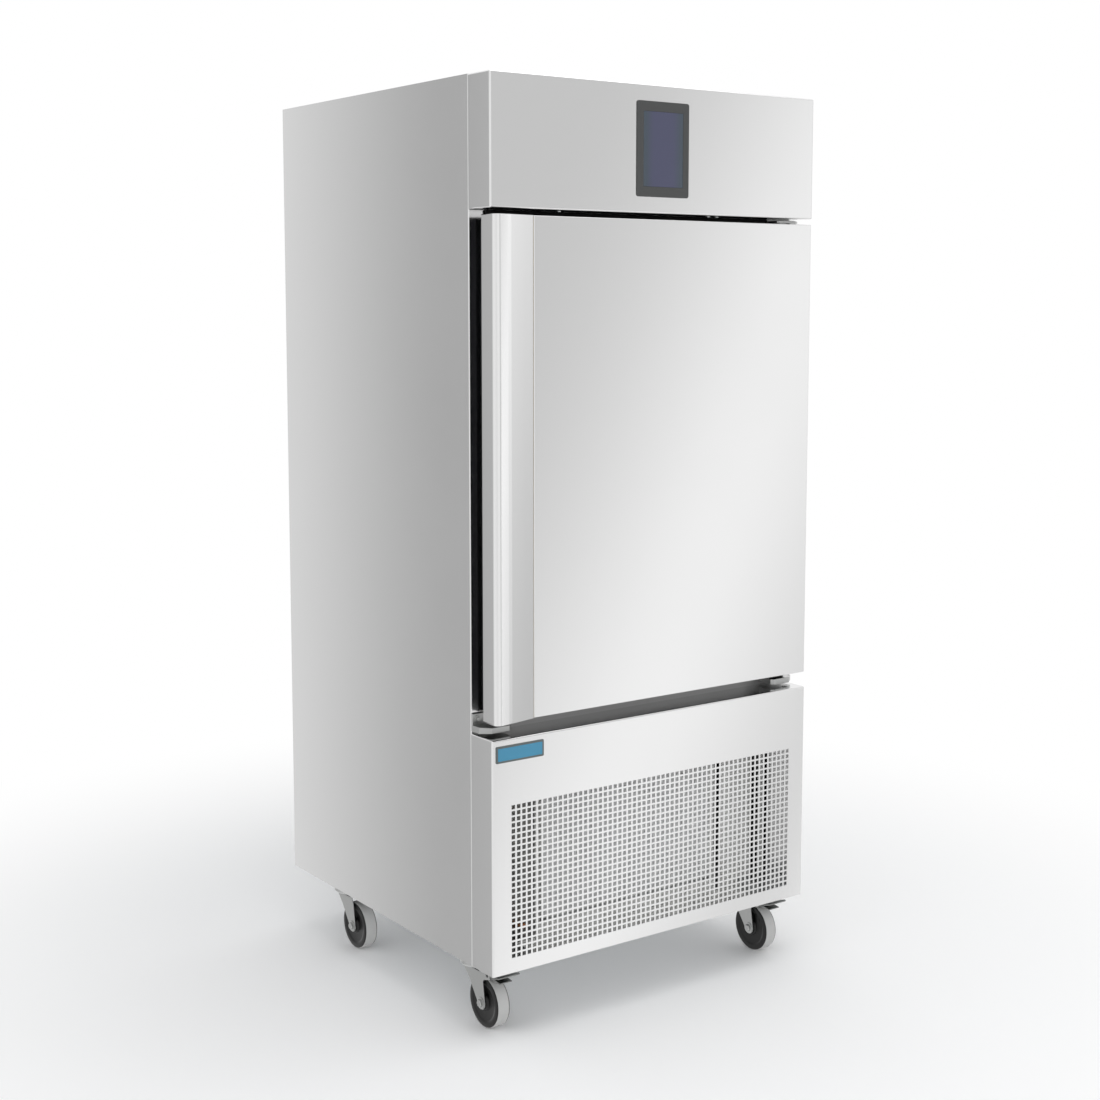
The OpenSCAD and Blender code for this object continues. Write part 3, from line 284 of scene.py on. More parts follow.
def pick(piece, kind, wanted):
    """Selects in edit mode the faces, edges or points whose middle (mm) and self pass the test."""
    clear()
    piece.select_set(True)
    bpy.context.view_layer.objects.active = piece
    bpy.ops.object.mode_set(mode="EDIT")
    bpy.ops.mesh.select_mode(type=kind)
    bpy.ops.mesh.select_all(action="DESELECT")
    shape = bmesh.from_edit_mesh(piece.data)
    shape.normal_update()
    chosen = 0
    for part in {"FACE": shape.faces, "EDGE": shape.edges, "VERT": shape.verts}[kind]:
        if kind == "FACE":
            middle = part.calc_center_median()
        else:
            middle = part.co if kind == "VERT" else (part.verts[0].co + part.verts[1].co) / 2
        if wanted(*(middle / MM), part):
            part.select_set(True)
            chosen += 1
    shape.select_flush_mode()
    bmesh.update_edit_mesh(piece.data)
    if not chosen:
        raise ValueError("nothing picked on " + piece.name)


def modify(piece, kind, **settings):
    """Adds a modifier and applies it."""
    clear()
    bpy.context.view_layer.objects.active = piece
    piece.select_set(True)
    change = piece.modifiers.new(kind.lower(), kind)
    for key, value in settings.items():
        setattr(change, key, value)
    bpy.ops.object.modifier_apply(modifier=change.name)


def carve(piece, tool):
    """Cuts a tool's shape out of a piece and removes the tool."""
    modify(piece, "BOOLEAN", object=tool, operation="DIFFERENCE", solver="EXACT")
    bpy.data.objects.remove(tool)


def smooth(piece, angle=35):
    """Shades the bends smooth and keeps the sheet between them flat."""
    clear()
    piece.select_set(True)
    bpy.context.view_layer.objects.active = piece
    bpy.ops.object.shade_smooth_by_angle(angle=radians(angle))
    modify(piece, "WEIGHTED_NORMAL", keep_sharp=True)


def mount(piece, body, finish, *nodes):
    """Finish, body, material slot and the CAD nodes that the piece stands for."""
    smooth(piece)
    piece.data.materials.clear()
    piece.data.materials.append(finish)
    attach(piece, body)
    if nodes:
        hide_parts(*nodes)
    return piece


def dress(finish, *nodes):
    """Gives a finish to CAD nodes that stay as they are."""
    for name in nodes:
        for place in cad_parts[name].material_slots:
            place.material = finish


outer_steel = stainless("brushed_stainless_outer", "e8e8e8", 0.14)
inner_steel = stainless("satin_stainless_lining", "dcdcdc", 0.36, (1.6, 1.6, 1.6))
galvanised = stainless("galvanised_sheet", "b9bcbe", 0.42, (0.12, 0.12, 0.12))
dress(outer_steel, "left_side_panel", "right_side_panel", "top_panel", "head_fascia", "lower_panel",
      "door_skin", "door_handle")
dress(inner_steel, "chamber_liner", "fan_cover", "tray_racks", "door_liner", "fan_guards")
dress(galvanised, "rear_panel", "rear_louvre_panel", "base_frame", "hinge_brackets",
      "spare_hinge_bracket", "caster_bolts", "hinge_pins")

# ---------------------------------------------------------------- Side panels
# Each side is one sheet with a return on the cabinet's face, bent to 2 mm radii. The bend
# catches the light as a thin line beside the door.


def bent_sheet(name, path, start, stop, axis):
    """Sheet folded along a path (mm) in the plane across an axis, and as long as start to stop."""
    clear()
    half_way = (start + stop) / 2
    first, tip = [across_axis(axis, spot, half_way) for spot in path[:2]]
    run = tip - first
    across, up = run.normalized(), across_axis(axis, (0, 0), 1)
    turn = Matrix((across, up, across.cross(up))).transposed()
    bpy.ops.mesh.primitive_plane_add(size=1, location=(first + tip) / 2 * MM, rotation=turn.to_euler())
    bpy.context.object.scale = (run.length * MM, (stop - start) * MM, 1)
    piece = settle(bpy.context.object, name)
    pick(piece, "EDGE", lambda x, y, z, e: (Vector((x, y, z)) - tip).length < 0.01)
    for a, b in zip(path[1:], path[2:]):
        step = across_axis(axis, (b[0] - a[0], b[1] - a[1]), 0) * MM
        bpy.ops.mesh.extrude_region_move(TRANSFORM_OT_translate={"value": step})
    clear()
    return piece


def fold(piece, edges, bend=2.0, steps=4):
    """Rounds the folds of a sheet piece to a bend radius in mm."""
    pick(piece, "EDGE", edges)
    bpy.ops.mesh.bevel(offset=bend * MM, segments=steps, affect="EDGES", clamp_overlap=False)
    bpy.ops.object.mode_set(mode="OBJECT")


def sharp(angle=0.35):
    """Test for the edges where two faces meet at more than an angle."""
    return lambda x, y, z, e: len(e.link_faces) == 2 and e.calc_face_angle() > angle


def runs_along(axis):
    """Test for the edges that run along an axis."""
    n = "XYZ".index(axis)
    return lambda x, y, z, e: abs(e.verts[0].co[n] - e.verts[1].co[n]) > 0.0001


def thicken(piece, thick, offset=-1):
    """Gives a sheet its thickness, behind its faces (-1), before them (1) or to both sides (0)."""
    modify(piece, "SOLIDIFY", thickness=thick * MM, offset=offset, use_even_offset=True)


side_return = 36
for hand, name in ((-1, "left_side_panel"), (1, "right_side_panel")):
    path = [(hand * (half_w - side_return), face), (hand * half_w, face), (hand * half_w, back)]
    side = bent_sheet(name + "_sheet", path, body_z, top_z, "Z")
    fold(side, sharp())
    thicken(side, sheet_t, -hand)
    mount(side, "cabinet", outer_steel, name)

# ---------------------------------------------------------------- Top panel
# Flat lid let in between the sides, held by small dome screws near its rim.


def turned(name, profile, centre, axis="Z", steps=32):
    """Spins a profile of (radius, height) points in mm round an axis through the centre."""
    piece = trace(name, [(radius, 0, height) for radius, height in profile])
    bpy.ops.mesh.spin(steps=steps, angle=2 * pi, center=(0, 0, 0), axis=(0, 0, 1))
    bpy.ops.mesh.select_all(action="SELECT")
    bpy.ops.mesh.remove_doubles(threshold=0.00001)
    bpy.ops.mesh.normals_make_consistent(inside=False)
    clear()
    piece.rotation_euler = {"Z": (0, 0, 0), "X": (0, pi / 2, 0), "Y": (-pi / 2, 0, 0)}[axis]
    piece.location = Vector(centre) * MM
    return settle(piece, name)


def copies(piece, name, places):
    """Separate copies of a piece, each with its own mesh, moved by the given steps (mm), joined as one."""
    made = []
    for step in places:
        made.append(twin(piece))
        made[-1].location = Vector(step) * MM
    bpy.data.objects.remove(piece)
    return join(name, *made)


def soften(piece, size=0.6, steps=2, angle=35):
    """Bevels every edge sharper than the angle, as pressing or tumbling leaves it."""
    modify(piece, "BEVEL", width=size * MM, segments=steps, limit_method="ANGLE", angle_limit=radians(angle))


def soft_block(name, low, high, size=0.6, steps=2):
    """Block between two corners in mm, with its edges softened."""
    piece = block(name, low, high)
    soften(piece, size, steps)
    return piece


def join(name, *parts):
    """One piece out of several."""
    clear()
    for part in parts:
        part.select_set(True)
    bpy.context.view_layer.objects.active = parts[0]
    bpy.ops.object.join()
    return settle(bpy.context.object, name)


screw_zinc = stainless("zinc_plated_screw", "c2c4c4", 0.28, (0.6, 0.6, 0.6))
lid_gap = 0.2
rim_x = half_w - sheet_t - lid_gap
lid = block("top_sheet", (-rim_x, face + 0.1, top_z - sheet_t), (rim_x, back - lid_gap, top_z))
fold(lid, lambda x, y, z, e: z > top_z - 0.1, 0.6, 2)
mount(lid, "cabinet", outer_steel, "top_panel")
dome = [(0, 1.8), (1.6, 1.7), (3.2, 1.0), (3.8, 0), (3.8, -0.5)]
screw = turned("lid_screw", dome, (0, 0, top_z - 0.1), steps=16)
screws = copies(screw, "lid_screws", [(x, y, 0) for x in (-370, 0, 370) for y in (-290, 380)])
mount(screws, "cabinet", screw_zinc)

# ---------------------------------------------------------------- Head fascia
# One folded sheet: face, two side returns, top and a short bottom return over the door,
# with an opening cut for the display. The corner bends show as bright lines.


def slice_at(piece, axis, place):
    """Cuts across the whole piece at a place along X, Y or Z, in mm."""
    pick(piece, "FACE", lambda x, y, z, f: True)
    normal = [0, 0, 0]
    normal["XYZ".index(axis)] = 1
    bpy.ops.mesh.bisect(plane_co=[place * MM * n for n in normal], plane_no=normal)


def remove(piece, faces):
    """Deletes the faces that pass the test."""
    pick(piece, "FACE", faces)
    bpy.ops.mesh.delete(type="FACE")


head_z, return_y = 1559, face - 15
head = block("fascia_sheet", (-half_w, front, head_z), (half_w, face, top_z))
slice_at(head, "Y", return_y)
remove(head, lambda x, y, z, f: y > face - 0.1 or (z < head_z + 0.1 and y > return_y))
fold(head, sharp(1.2), 3.2, 6)
for place in (-53.5, 53.5):
    slice_at(head, "X", place)
for place in (1604, 1755):
    slice_at(head, "Z", place)
remove(head, lambda x, y, z, f: y < front + 0.1 and abs(x) < 50 and 1610 < z < 1750)
thicken(head, sheet_t)
mount(head, "cabinet", outer_steel, "head_fascia")

# ---------------------------------------------------------------- Touch display
# Tall moulded ABS bezel, softened all round and clipped through the fascia, framing dark
# toughened glass with an unlit blue-grey panel behind it.


def plastic(name, shade, rough, grit, depth, spec=0.5):
    """Moulded plastic, enamel or rubber. Grit and depth are the texture's size and height in mm."""
    finish, tree, shader = blank(name)
    place = add(tree, "TexCoord")
    grain = add(tree, "TexNoise", Vector=place.outputs["Object"], Scale=1000 / grit, Detail=3.0)
    cloud = add(tree, "TexNoise", Vector=place.outputs["Object"], Scale=9.0, Detail=3.0)
    dark = tuple(c * 0.85 for c in linear(shade)[:3]) + (1.0,)
    tint = blend(tree, cloud.outputs[0], dark, linear(shade))
    tone = add(tree, "MapRange", Value=cloud.outputs[0], To_Min=rough - 0.06, To_Max=rough + 0.06)
    bump = add(tree, "Bump", Strength=0.5, Distance=depth * MM, Height=grain.outputs[0])
    feed(shader, Base_Color=tint, Roughness=tone.outputs[0], Specular_IOR_Level=spec, Normal=bump.outputs[0])
    return finish


bezel_abs = plastic("moulded_abs_charcoal", "3f4040", 0.42, 0.8, 0.02)
bezel = block("display_bezel_moulding", (-63.5, -395, 1590), (63.5, -391.4, 1769))
fold(bezel, runs_along("Y"), 5, 6)
pick(bezel, "FACE", lambda x, y, z, f: f.normal.y < -0.9)
bpy.ops.mesh.bevel(offset=1.2 * MM, segments=3, affect="EDGES")
carve(bezel, block("display_well", (-48.5, -396, 1609), (48.5, -394.2, 1750)))
mount(bezel, "cabinet", bezel_abs, "display_bezel")

glass_panel, pane, pane_shader = blank("toughened_glass_unlit")
spot = add(pane, "TexCoord")
split = add(pane, "SeparateXYZ", _0=spot.outputs["Object"])
off = add(pane, "Math", {"operation": "ABSOLUTE"}, _0=split.outputs["X"])
# Painted reflection in the glass's colour: purple-grey across the middle, turning bluer grey towards the left
# and right edges.
rim = add(pane, "MapRange", {"interpolation_type": "SMOOTHSTEP"}, Value=off.outputs[0],
          From_Min=0.022, From_Max=0.046)
painted_reflection_tint = blend(pane, rim.outputs[0], linear("43455c"), linear("3c4650"))
feed(pane_shader, Base_Color=painted_reflection_tint, Roughness=0.16, IOR=1.5)
screen = block("display_glass", (-48.3, -394.9, 1609.2), (48.3, -394.1, 1749.8))
fold(screen, lambda x, y, z, e: y < -394.8, 0.4, 2)
mount(screen, "cabinet", glass_panel, "display_screen")

# ---------------------------------------------------------------- Door
# Foamed door 52 mm thick: a stainless pan in front, a black PVC frame round its back edge
# and a pressed stainless lining. The pan is notched for the nylon hinge bushes.
door_z0, door_z1, pan_x0, pan_x1 = 618, 1548, -300, half_w - 2
pan_y = front + 29
pin = (373, -354.5, 0)
pan = block("door_pan", (pan_x0, front, door_z0), (pan_x1, pan_y, door_z1))
remove(pan, lambda x, y, z, f: y > pan_y - 0.1)
fold(pan, sharp(1.2), 1.8)
thicken(pan, sheet_t)
for low, high in ((600, 640), (1530, 1560)):
    carve(pan, turned("bush_notch", [(0, low), (12, low), (12, high), (0, high)], pin))
mount(pan, "door", outer_steel, "door_skin")


def open_frame(piece, wide):
    """Turns a block into a frame with limbs of a width in mm, open from front to back."""
    pick(piece, "FACE", lambda x, y, z, f: abs(f.normal.y) > 0.9)
    bpy.ops.mesh.inset(thickness=wide * MM, depth=0)
    bpy.ops.mesh.bridge_edge_loops()


# Sheet behind the handle's hollow, and the narrow return of the pan round its back edge:
# together they close the foam in on the free edge, the top, the bottom and the hinge side.
backing = block("grip_backing_sheet", (-366.8, pan_y - 0.9, door_z0 + 1.7),
                (pan_x0 - 0.8, pan_y - 0.1, door_z1 - 1.7))
mount(backing, "door", outer_steel)
pan_return = block("pan_return", (pan_x0 + 0.5, pan_y - 0.5, door_z0 + 1.3),
                   (pan_x1 - 1.3, pan_y + 0.3, door_z1 - 1.3))
open_frame(pan_return, 4.5)
mount(pan_return, "door", outer_steel)

# Full-height handle: one folded profile with a round nose, a flat that slopes back to the
# door face and a welded cap at each end. The fingers go in behind its outer edge.
nose, ridge, root = (-half_w, front - 17.9), (-361.4, front - 12.3), (pan_x0 - 0.6, front - 0.1)
grip_path = [(-half_w, pan_y), nose, ridge, root, (root[0], pan_y)]
grip_t = 1.5


def fold_at(piece, corner, bend, steps):
    """Rounds the upright fold of the handle at one corner of its path."""
    fold(piece, lambda x, y, z, e: len(e.link_faces) == 2 and abs(x - corner[0]) < 1 and y < corner[1] + 0.8,
         bend, steps)


grip = bent_sheet("handle_profile", grip_path, door_z0 + grip_t, door_z1 - grip_t, "Z")
caps = [bent_sheet("handle_cap_%d" % low, grip_path, low, low + grip_t, "Z")
        for low in (door_z0, door_z1 - grip_t)]
for piece in (grip, *caps):
    fold_at(piece, nose, 13, 12)
    fold_at(piece, ridge, 5, 5)
fold_at(grip, root, 2.2, 4)
thicken(grip, grip_t)
mount(grip, "door", outer_steel, "door_handle")
for cap in caps:
    pick(cap, "EDGE", lambda x, y, z, e: e.is_boundary and abs(e.verts[0].co.z - e.verts[1].co.z) < 0.0001)
    bpy.ops.mesh.edge_face_add()
    mount(cap, "door", outer_steel)

# ---------------------------------------------------------------- Lower panel
# Stainless apron in front of the condensing unit, folded back at both sides and on top, and
# punched with 59 by 26 square holes of 8 mm at 12 mm across and 11.5 mm up.
pitch_x, pitch_z, half_hole, first_row = 12, 11.5, 4, 167.5
apron = block("apron_sheet", (-half_w, front, body_z), (half_w, face, 587))
remove(apron, lambda x, y, z, f: y > face - 0.1 or z < body_z + 0.1)
fold(apron, sharp(1.2), 3.2, 6)
columns = [pitch_x * c + side for c in range(-29, 30) for side in (-half_hole, half_hole)]
rows = [first_row + pitch_z * r + side for r in range(26) for side in (-half_hole, half_hole)]
ends = [("X", columns[0]), ("X", columns[-1]), ("Z", rows[0]), ("Z", rows[-1])]
for axis, place in ends + [("X", c) for c in columns[1:-1]] + [("Z", r) for r in rows[1:-1]]:
    reach = half_w if (axis, place) in ends else columns[-1]
    pick(apron, "FACE", lambda x, y, z, f: y < front + 0.1 and abs(x) < reach + 0.01)
    normal = (1, 0, 0) if axis == "X" else (0, 0, 1)
    bpy.ops.mesh.bisect(plane_co=[place * MM * n for n in normal], plane_no=normal)
remove(apron, lambda x, y, z, f: y < front + 0.1 and abs(x) < columns[-1] and rows[0] < z < rows[-1]
       and abs((x + pitch_x / 2) % pitch_x - pitch_x / 2) < 1
       and abs((z - first_row + pitch_z / 2) % pitch_z - pitch_z / 2) < 1)
thicken(apron, sheet_t)
mount(apron, "cabinet", outer_steel, "lower_panel")

# Bare enamelled plate, blue with a grey rim, glued to the apron's top left corner.
plate_grey = plastic("enamel_grey_rim", "586060", 0.32, 1.5, 0.005)
plate_blue = plastic("enamel_blue_field", "3f86a6", 0.25, 1.5, 0.005)
tag = block("badge_plate_blank", (-387, -394, 543), (-279, -392.4, 575))
fold(tag, runs_along("Y"), 2.5, 5)
pick(tag, "FACE", lambda x, y, z, f: f.normal.y < -0.9)
bpy.ops.mesh.bevel(offset=0.4 * MM, segments=2, affect="EDGES")
mount(tag, "cabinet", plate_grey, "badge_plate")
field = block("badge_enamel_field", (-383, -394.25, 547), (-283, -393.8, 571))
fold(field, runs_along("Y"), 1.2, 4)
mount(field, "cabinet", plate_blue)

# ---------------------------------------------------------------- Hinges
# Zinc-plated steel brackets carry the door's pins: a thick one under the door with a screwed
# foot, a thin one above it, and a spare of the lower one on the left to reverse the door.


def cut_plate(name, outline, start, stop, axis):
    """Flat outline (mm, in the plane across the axis) filled and given thickness from start to stop."""
    piece = trace(name, [across_axis(axis, spot, start) for spot in outline])
    bpy.ops.mesh.edge_face_add()
    step = across_axis(axis, (0, 0), stop - start) * MM
    bpy.ops.mesh.extrude_region_move(TRANSFORM_OT_translate={"value": step})
    bpy.ops.mesh.select_all(action="SELECT")
    bpy.ops.mesh.normals_make_consistent(inside=False)
    clear()
    return piece


def flip(piece, name):
    """Mirror image of a piece, left for right, as a new piece."""
    other = twin(piece)
    other.scale.x = -1
    settle(other, name)
    pick(other, "FACE", lambda x, y, z, f: True)
    bpy.ops.mesh.normals_make_consistent(inside=False)
    clear()
    return other


def hex_bolt(name, centre, axis, across, head):
    """Hexagon head with a chamfered crown and a washer under it; the head stands out along the axis."""
    r = across / 2
    crown = [(0, head), (r * 0.86, head), (r, head * 0.78), (r, 0.6), (r * 1.45, 0.6), (r * 1.45, 0), (0, 0)]
    washer = [(0, 1.2), (r * 1.4, 1.2), (r * 1.55, 0.9), (r * 1.55, -0.3), (0, -0.3)]
    whole = join(name, turned(name, crown, (0, 0, 0), steps=6),
                 turned(name + "_washer", washer, (0, 0, 0), steps=24))
    whole.rotation_euler = Vector(axis).to_track_quat("Z", "Y").to_euler()
    whole.location = Vector(centre) * MM
    return settle(whole, name)


zinc = stainless("zinc_plated_steel", "b8b9b8", 0.34, (0.5, 0.5, 0.5))
bright_steel = stainless("ground_steel_pin", "d8d8d8", 0.2, (0.3, 0.3, 3.0))
plan = [(330, -357.5), (336, pan_y), (377, pan_y), (half_w, -349), (half_w, face), (330, face)]
lower_leaf = cut_plate("lower_leaf", plan, 592, 604, "Z")
soften(lower_leaf, 1.2, 3)
foot = soft_block("lower_foot", (330, face - 5, 603), (half_w, face, 626), 1.2, 3)
bolts = [hex_bolt("foot_bolt_%d" % x, (x, face - 5, 615), (0, -1, 0), 10, 4.5) for x in (342, 383)]
lower_bracket = join("lower_hinge_bracket", lower_leaf, foot, *bolts)
spare = flip(lower_bracket, "spare_bracket")
upper_leaf = cut_plate("upper_leaf", plan, 1551, 1556, "Z")
soften(upper_leaf, 0.8, 2)
upper_foot = soft_block("upper_foot", (330, face - 5, 1555), (392.8, face, 1585), 0.8)
brackets = join("hinge_brackets_pair", lower_bracket, upper_leaf, upper_foot)
mount(brackets, "cabinet", zinc, "hinge_brackets")

# The rails that the brackets are screwed to get a darker grey steel: painted shade for the
# gap under the door. A black strip in the slot over the door is painted shade for that slot.
rail_painted_shade = stainless("rail_grey_painted_gap_shade", "9c9c9c", 0.45, (0.5, 0.5, 0.5))
dress(rail_painted_shade, "face_rails")
# Black strip in the slot over the door: painted shade for the deep slot.
slot_shade_black = plastic("black_painted_slot_shade", "141414", 0.7, 0.6, 0.03, 0.3)
strip = soft_block("head_slot_shade_strip", (-357, -334, 1549.5), (326, face - 0.1, head_z - 0.4), 2, 3)
mount(strip, "cabinet", slot_shade_black)
mount(spare, "cabinet", zinc, "spare_hinge_bracket")

pins = [turned("lower_pin", [(0, 592), (6, 592), (6, 604), (10.5, 604), (10.5, 616.9), (9.7, 617.7),
                             (6, 617.7), (6, 647), (5, 648), (0, 648)], pin),
        turned("upper_pin", [(0, 1518), (5, 1518), (6, 1519), (6, 1548.3), (10.5, 1548.3), (10.5, 1551),
                             (6, 1551), (6, 1557), (0, 1557)], pin)]
pins = join("hinge_pins_pair", *pins)
mount(pins, "cabinet", bright_steel, "hinge_pins")

# Self-closing spring in a dark ribbed sleeve, laid on the lower bracket beside the pin.
sleeve_black = plastic("black_nylon", "202122", 0.38, 0.6, 0.03)
ribs = [(0, 0), (5, 0), (6, 1)]
for i in range(5):
    ribs += [(6, 1 + 5 * i + 2.6), (4.4, 1 + 5 * i + 3.2), (4.4, 1 + 5 * i + 4.4), (6, 1 + 5 * i + 5)]
closer = turned("closer_sleeve", ribs + [(5, 26), (0, 26)], (331, -354.5, 610), "X")
mount(closer, "cabinet", sleeve_black, "door_closer")

# Small screws that hold the fascia's bottom return, seen in the gap over the door.
pan_head = [(0, -2.4), (3.2, -2.2), (4.4, -1.0), (4.4, 0.4), (0, 0.4)]
gap_screw = turned("fascia_screw", pan_head, (0, -352, head_z), steps=16)
gap_screws = copies(gap_screw, "fascia_screws", [(-215, 0, 0), (150, 0, 0), (172, 0, 0)])
mount(gap_screws, "cabinet", screw_zinc)

# ---------------------------------------------------------------- Casters
# Plate casters with 100 mm wheels: black nylon wheels with grey non-marking rubber treads,
# zinc-plated pressed forks on ball races, steel axle bolts. The front two have brake pedals.
corners = {"fl": (-345, -267.5), "fr": (345, -267.5), "rl": (-345, 239.5), "rr": (345, 239.5)}


def stand(piece, name, corner):
    """A copy of a piece modelled at the swivel axis, moved under one corner of the cabinet."""
    made = twin(piece)
    made.location = Vector((*corners[corner], 0)) * MM
    return settle(made, name + "_" + corner)


wheel_nylon = plastic("wheel_nylon_black", "101010", 0.3, 0.7, 0.01, 0.3)
tread_rubber = plastic("grey_rubber_tread", "b9b9b8", 0.62, 0.5, 0.05, 0.4)
plate_black = plastic("black_coated_plate", "242425", 0.45, 0.5, 0.03)
hub = (0, -38, 50)
pedal_axis = (0, -60, 110.7)
half_core = [(5.05, -17), (14, -17), (15, -16.2), (17, -12.5), (34, -12.5), (36.5, -13.6), (40, -14.5),
             (47.2, -14.5), (48.9, -13.4), (49, -12.5), (43, -12.5)]
half_tyre = [(43, -12.5), (48.6, -12.5), (49.5, -11.8), (50, -10.4)]


def mirrored_profile(half):
    """Closed profile from the half of it that lies below zero height."""
    return half + [(radius, -height) for radius, height in reversed(half)] + half[:1]


core = turned("wheel_core", mirrored_profile(half_core), hub, "X", 64)
tyre = turned("wheel_tread", mirrored_profile(half_tyre), hub, "X", 64)
rounded = [(-38 + 13 * cos(radians(a)), 50 + 13 * sin(radians(a))) for a in range(180, 361, 15)]
plain_leg = rounded + [(4, 88.7), (26, 110.7), (30, 118.7), (-34, 118.7), (-44, 92.7)]
brake_leg = plain_leg[:-1] + [(-66, 116.7), (-68, 105), (-48, 99), plain_leg[-1]]
race = [(7.05, 110.7), (24, 110.7), (30, 114.7), (33, 116), (37, 120), (37, 127.6), (36, 128.7),
        (7.05, 128.7), (7.05, 110.7)]
crown = turned("crown", race, (0, 0, 0), "Z", 48)
for kind, outline in (("plain", plain_leg), ("braked", brake_leg)):
    legs = [cut_plate("leg_%d" % side, outline, side * 20.5 if side < 0 else 17.5,
                      side * 17.5 if side < 0 else 20.5, "X") for side in (-1, 1)]
    bridge = block("fork_bridge", (-20.5, -34, 110.7), (20.5, 29, 115))
    carve(bridge, turned("bridge_bore", [(0, 100), (7.1, 100), (7.1, 120), (0, 120)], (0, 0, 0), "Z", 48))
    for part in legs + [bridge]:
        soften(part, 0.9, 2)
    axle = turned("axle", [(0, -23), (4, -23), (5, -22), (5, 22), (4, 23), (0, 23)], hub, "X", 24)
    nuts = [hex_bolt("axle_nut_%d" % side, (side * 20.6, -38, 50), (side, 0, 0), 15, 5.5) for side in (-1, 1)]
    parts = legs + [bridge, twin(crown), axle] + nuts
    if kind == "braked":
        pin_profile = [(0, -20.5), (3, -20.5), (3, 20.5), (0, 20.5)]
        parts.append(turned("pedal_pin", pin_profile, pedal_axis, "X", 16))
    fork = join("fork_" + kind, *parts)
    for corner in (("rl", "rr") if kind == "plain" else ("fl", "fr")):
        mount(stand(fork, "caster_fork_piece", corner), "swivel_" + corner, zinc, "caster_fork_" + corner)
    bpy.data.objects.remove(fork)
bpy.data.objects.remove(crown)
for corner in corners:
    mount(stand(core, "wheel_core_piece", corner), "wheel_" + corner, wheel_nylon, "wheel_core_" + corner)
    mount(stand(tyre, "wheel_tread_piece", corner), "wheel_" + corner, tread_rubber, "wheel_tread_" + corner)
bpy.data.objects.remove(core)
bpy.data.objects.remove(tyre)

# Brake rocker: broad upper tongue and a short lower one, bent from grey coated plate round a pin.
pedal_grey = stainless("grey_coated_pedal", "8a8b8a", 0.42, (0.5, 0.5, 0.5))
barrel = turned("pedal_barrel", mirrored_profile([(3.05, -16.5), (6.5, -16.5)]), pedal_axis, "X", 24)
tongue = [(-74, 112.9), (-90, 114.3), (-103, 118.2), (-105, 118.2), (-105, 121), (-102, 121.6), (-89, 117.4),
          (-74, 115.9)]
upper = cut_plate("upper_tongue", tongue, -25, 25, "X")
neck = cut_plate("pedal_neck", [(-60, 111.4), (-75, 112.6), (-75, 115.8), (-60, 115.8)], -16, 16, "X")
tongue = [(-60, 105.7), (-97, 104.7), (-99, 105.4), (-99, 107.6), (-60, 111)]
lower = cut_plate("lower_tongue", tongue, -17, 11, "X")
for part in (upper, neck, lower):
    soften(part, 0.8, 2)
pedal = join("pedal", barrel, upper, neck, lower)
for corner in ("fl", "fr"):
    mount(stand(pedal, "brake_pedal_piece", corner), "pedal_" + corner, pedal_grey, "brake_pedal_" + corner)
bpy.data.objects.remove(pedal)

# Black mounting plates, bolted up through the base tray at their four corners.
plate_z = body_z - 6
plate = block("plate", (-42, -80, plate_z), (42, 80, body_z))
fold(plate, runs_along("Z"), 7, 5)
soften(plate, 0.6, 2)
king = turned("king_pin", [(0, 104.4), (6, 104.4), (12, 105.4), (12, 110.4), (7, 110.4), (7, 130), (0, 130)],
              (0, 0, 0), "Z", 32)
plate = join("plate", plate, king)
plates = copies(plate, "caster_mounting_plates", [(*spot, 0) for spot in corners.values()])
mount(plates, "cabinet", plate_black, "caster_plates")
bolt = hex_bolt("plate_bolt", (0, 0, plate_z), (0, 0, -1), 13, 5)
bolt_places = [(x + sx * 31, y + sy * 66, 0) for x, y in corners.values() for sx in (-1, 1) for sy in (-1, 1)]
bolts = copies(bolt, "caster_plate_bolts", bolt_places)
mount(bolts, "cabinet", screw_zinc, "caster_bolts")

# ---------------------------------------------------------------- Machine bay casing
# Light sheet casing round the condenser, open at the front, with a round mouth for the fan
# at the back. Its flanges are what shows as a pale frame through the grille.


def pipe(name, points, radius, bend, sides=4):
    """Round bar or tube along points (mm), with rounded bends."""
    trace(name, points)
    if bend:
        bpy.ops.mesh.bevel(offset=bend * MM, segments=6, affect="VERTICES")
    bpy.ops.object.mode_set(mode="OBJECT")
    bpy.ops.object.convert(target="CURVE")
    piece = bpy.context.object
    piece.data.bevel_depth = radius * MM
    piece.data.bevel_resolution = sides
    piece.data.use_fill_caps = True
    bpy.ops.object.convert(target="MESH")
    piece = settle(bpy.context.object, name)
    bpy.ops.object.mode_set(mode="EDIT")
    bpy.ops.mesh.select_all(action="SELECT")
    bpy.ops.mesh.remove_doubles(threshold=0.00001)
    bpy.ops.mesh.normals_make_consistent(inside=False)
    clear()
    return piece


def bore(piece, centre, radius, axis, length):
    """Round hole in a piece, through half its length either side of the centre."""
    half = length / 2
    plug = [(0, -half), (radius, -half), (radius, half), (0, half)]
    carve(piece, turned("bore_tool", plug, centre, axis, 64))


white_coat = plastic("casing_white_coat", "f2f2f0", 0.42, 0.8, 0.01)
case_x, case_y0, case_y1, case_z0, case_z1 = 232.5, -294.5, -182.5, 144, 450
coil_y, coil_z = -269.5, (case_z0 + case_z1) / 2
case = block("condenser_casing", (-case_x, case_y0, case_z0), (case_x, case_y1, case_z1))
remove(case, lambda x, y, z, f: y < case_y0 + 0.1)
fold(case, sharp(), 2, 3)
thicken(case, 1.6)
bore(case, (0, -180, coil_z), 136, "Y", 30)
for height in (165, 429):
    bore(case, (-232, coil_y, height), 7, "X", 12)
rim = block("casing_flange", (-case_x, case_y0, case_z0), (case_x, case_y0 + 1.5, case_z1))
carve(rim, block("casing_mouth", (13 - case_x, -300, case_z0 + 13), (case_x - 13, -290, case_z1 - 13)))
rolled = [(136, 0), (134, -1.5), (132, -10), (133, -10.4), (136, -3), (137, 0), (136, 0)]
lip = turned("fan_mouth_lip", rolled, (0, case_y1, coil_z), "Y", 64)
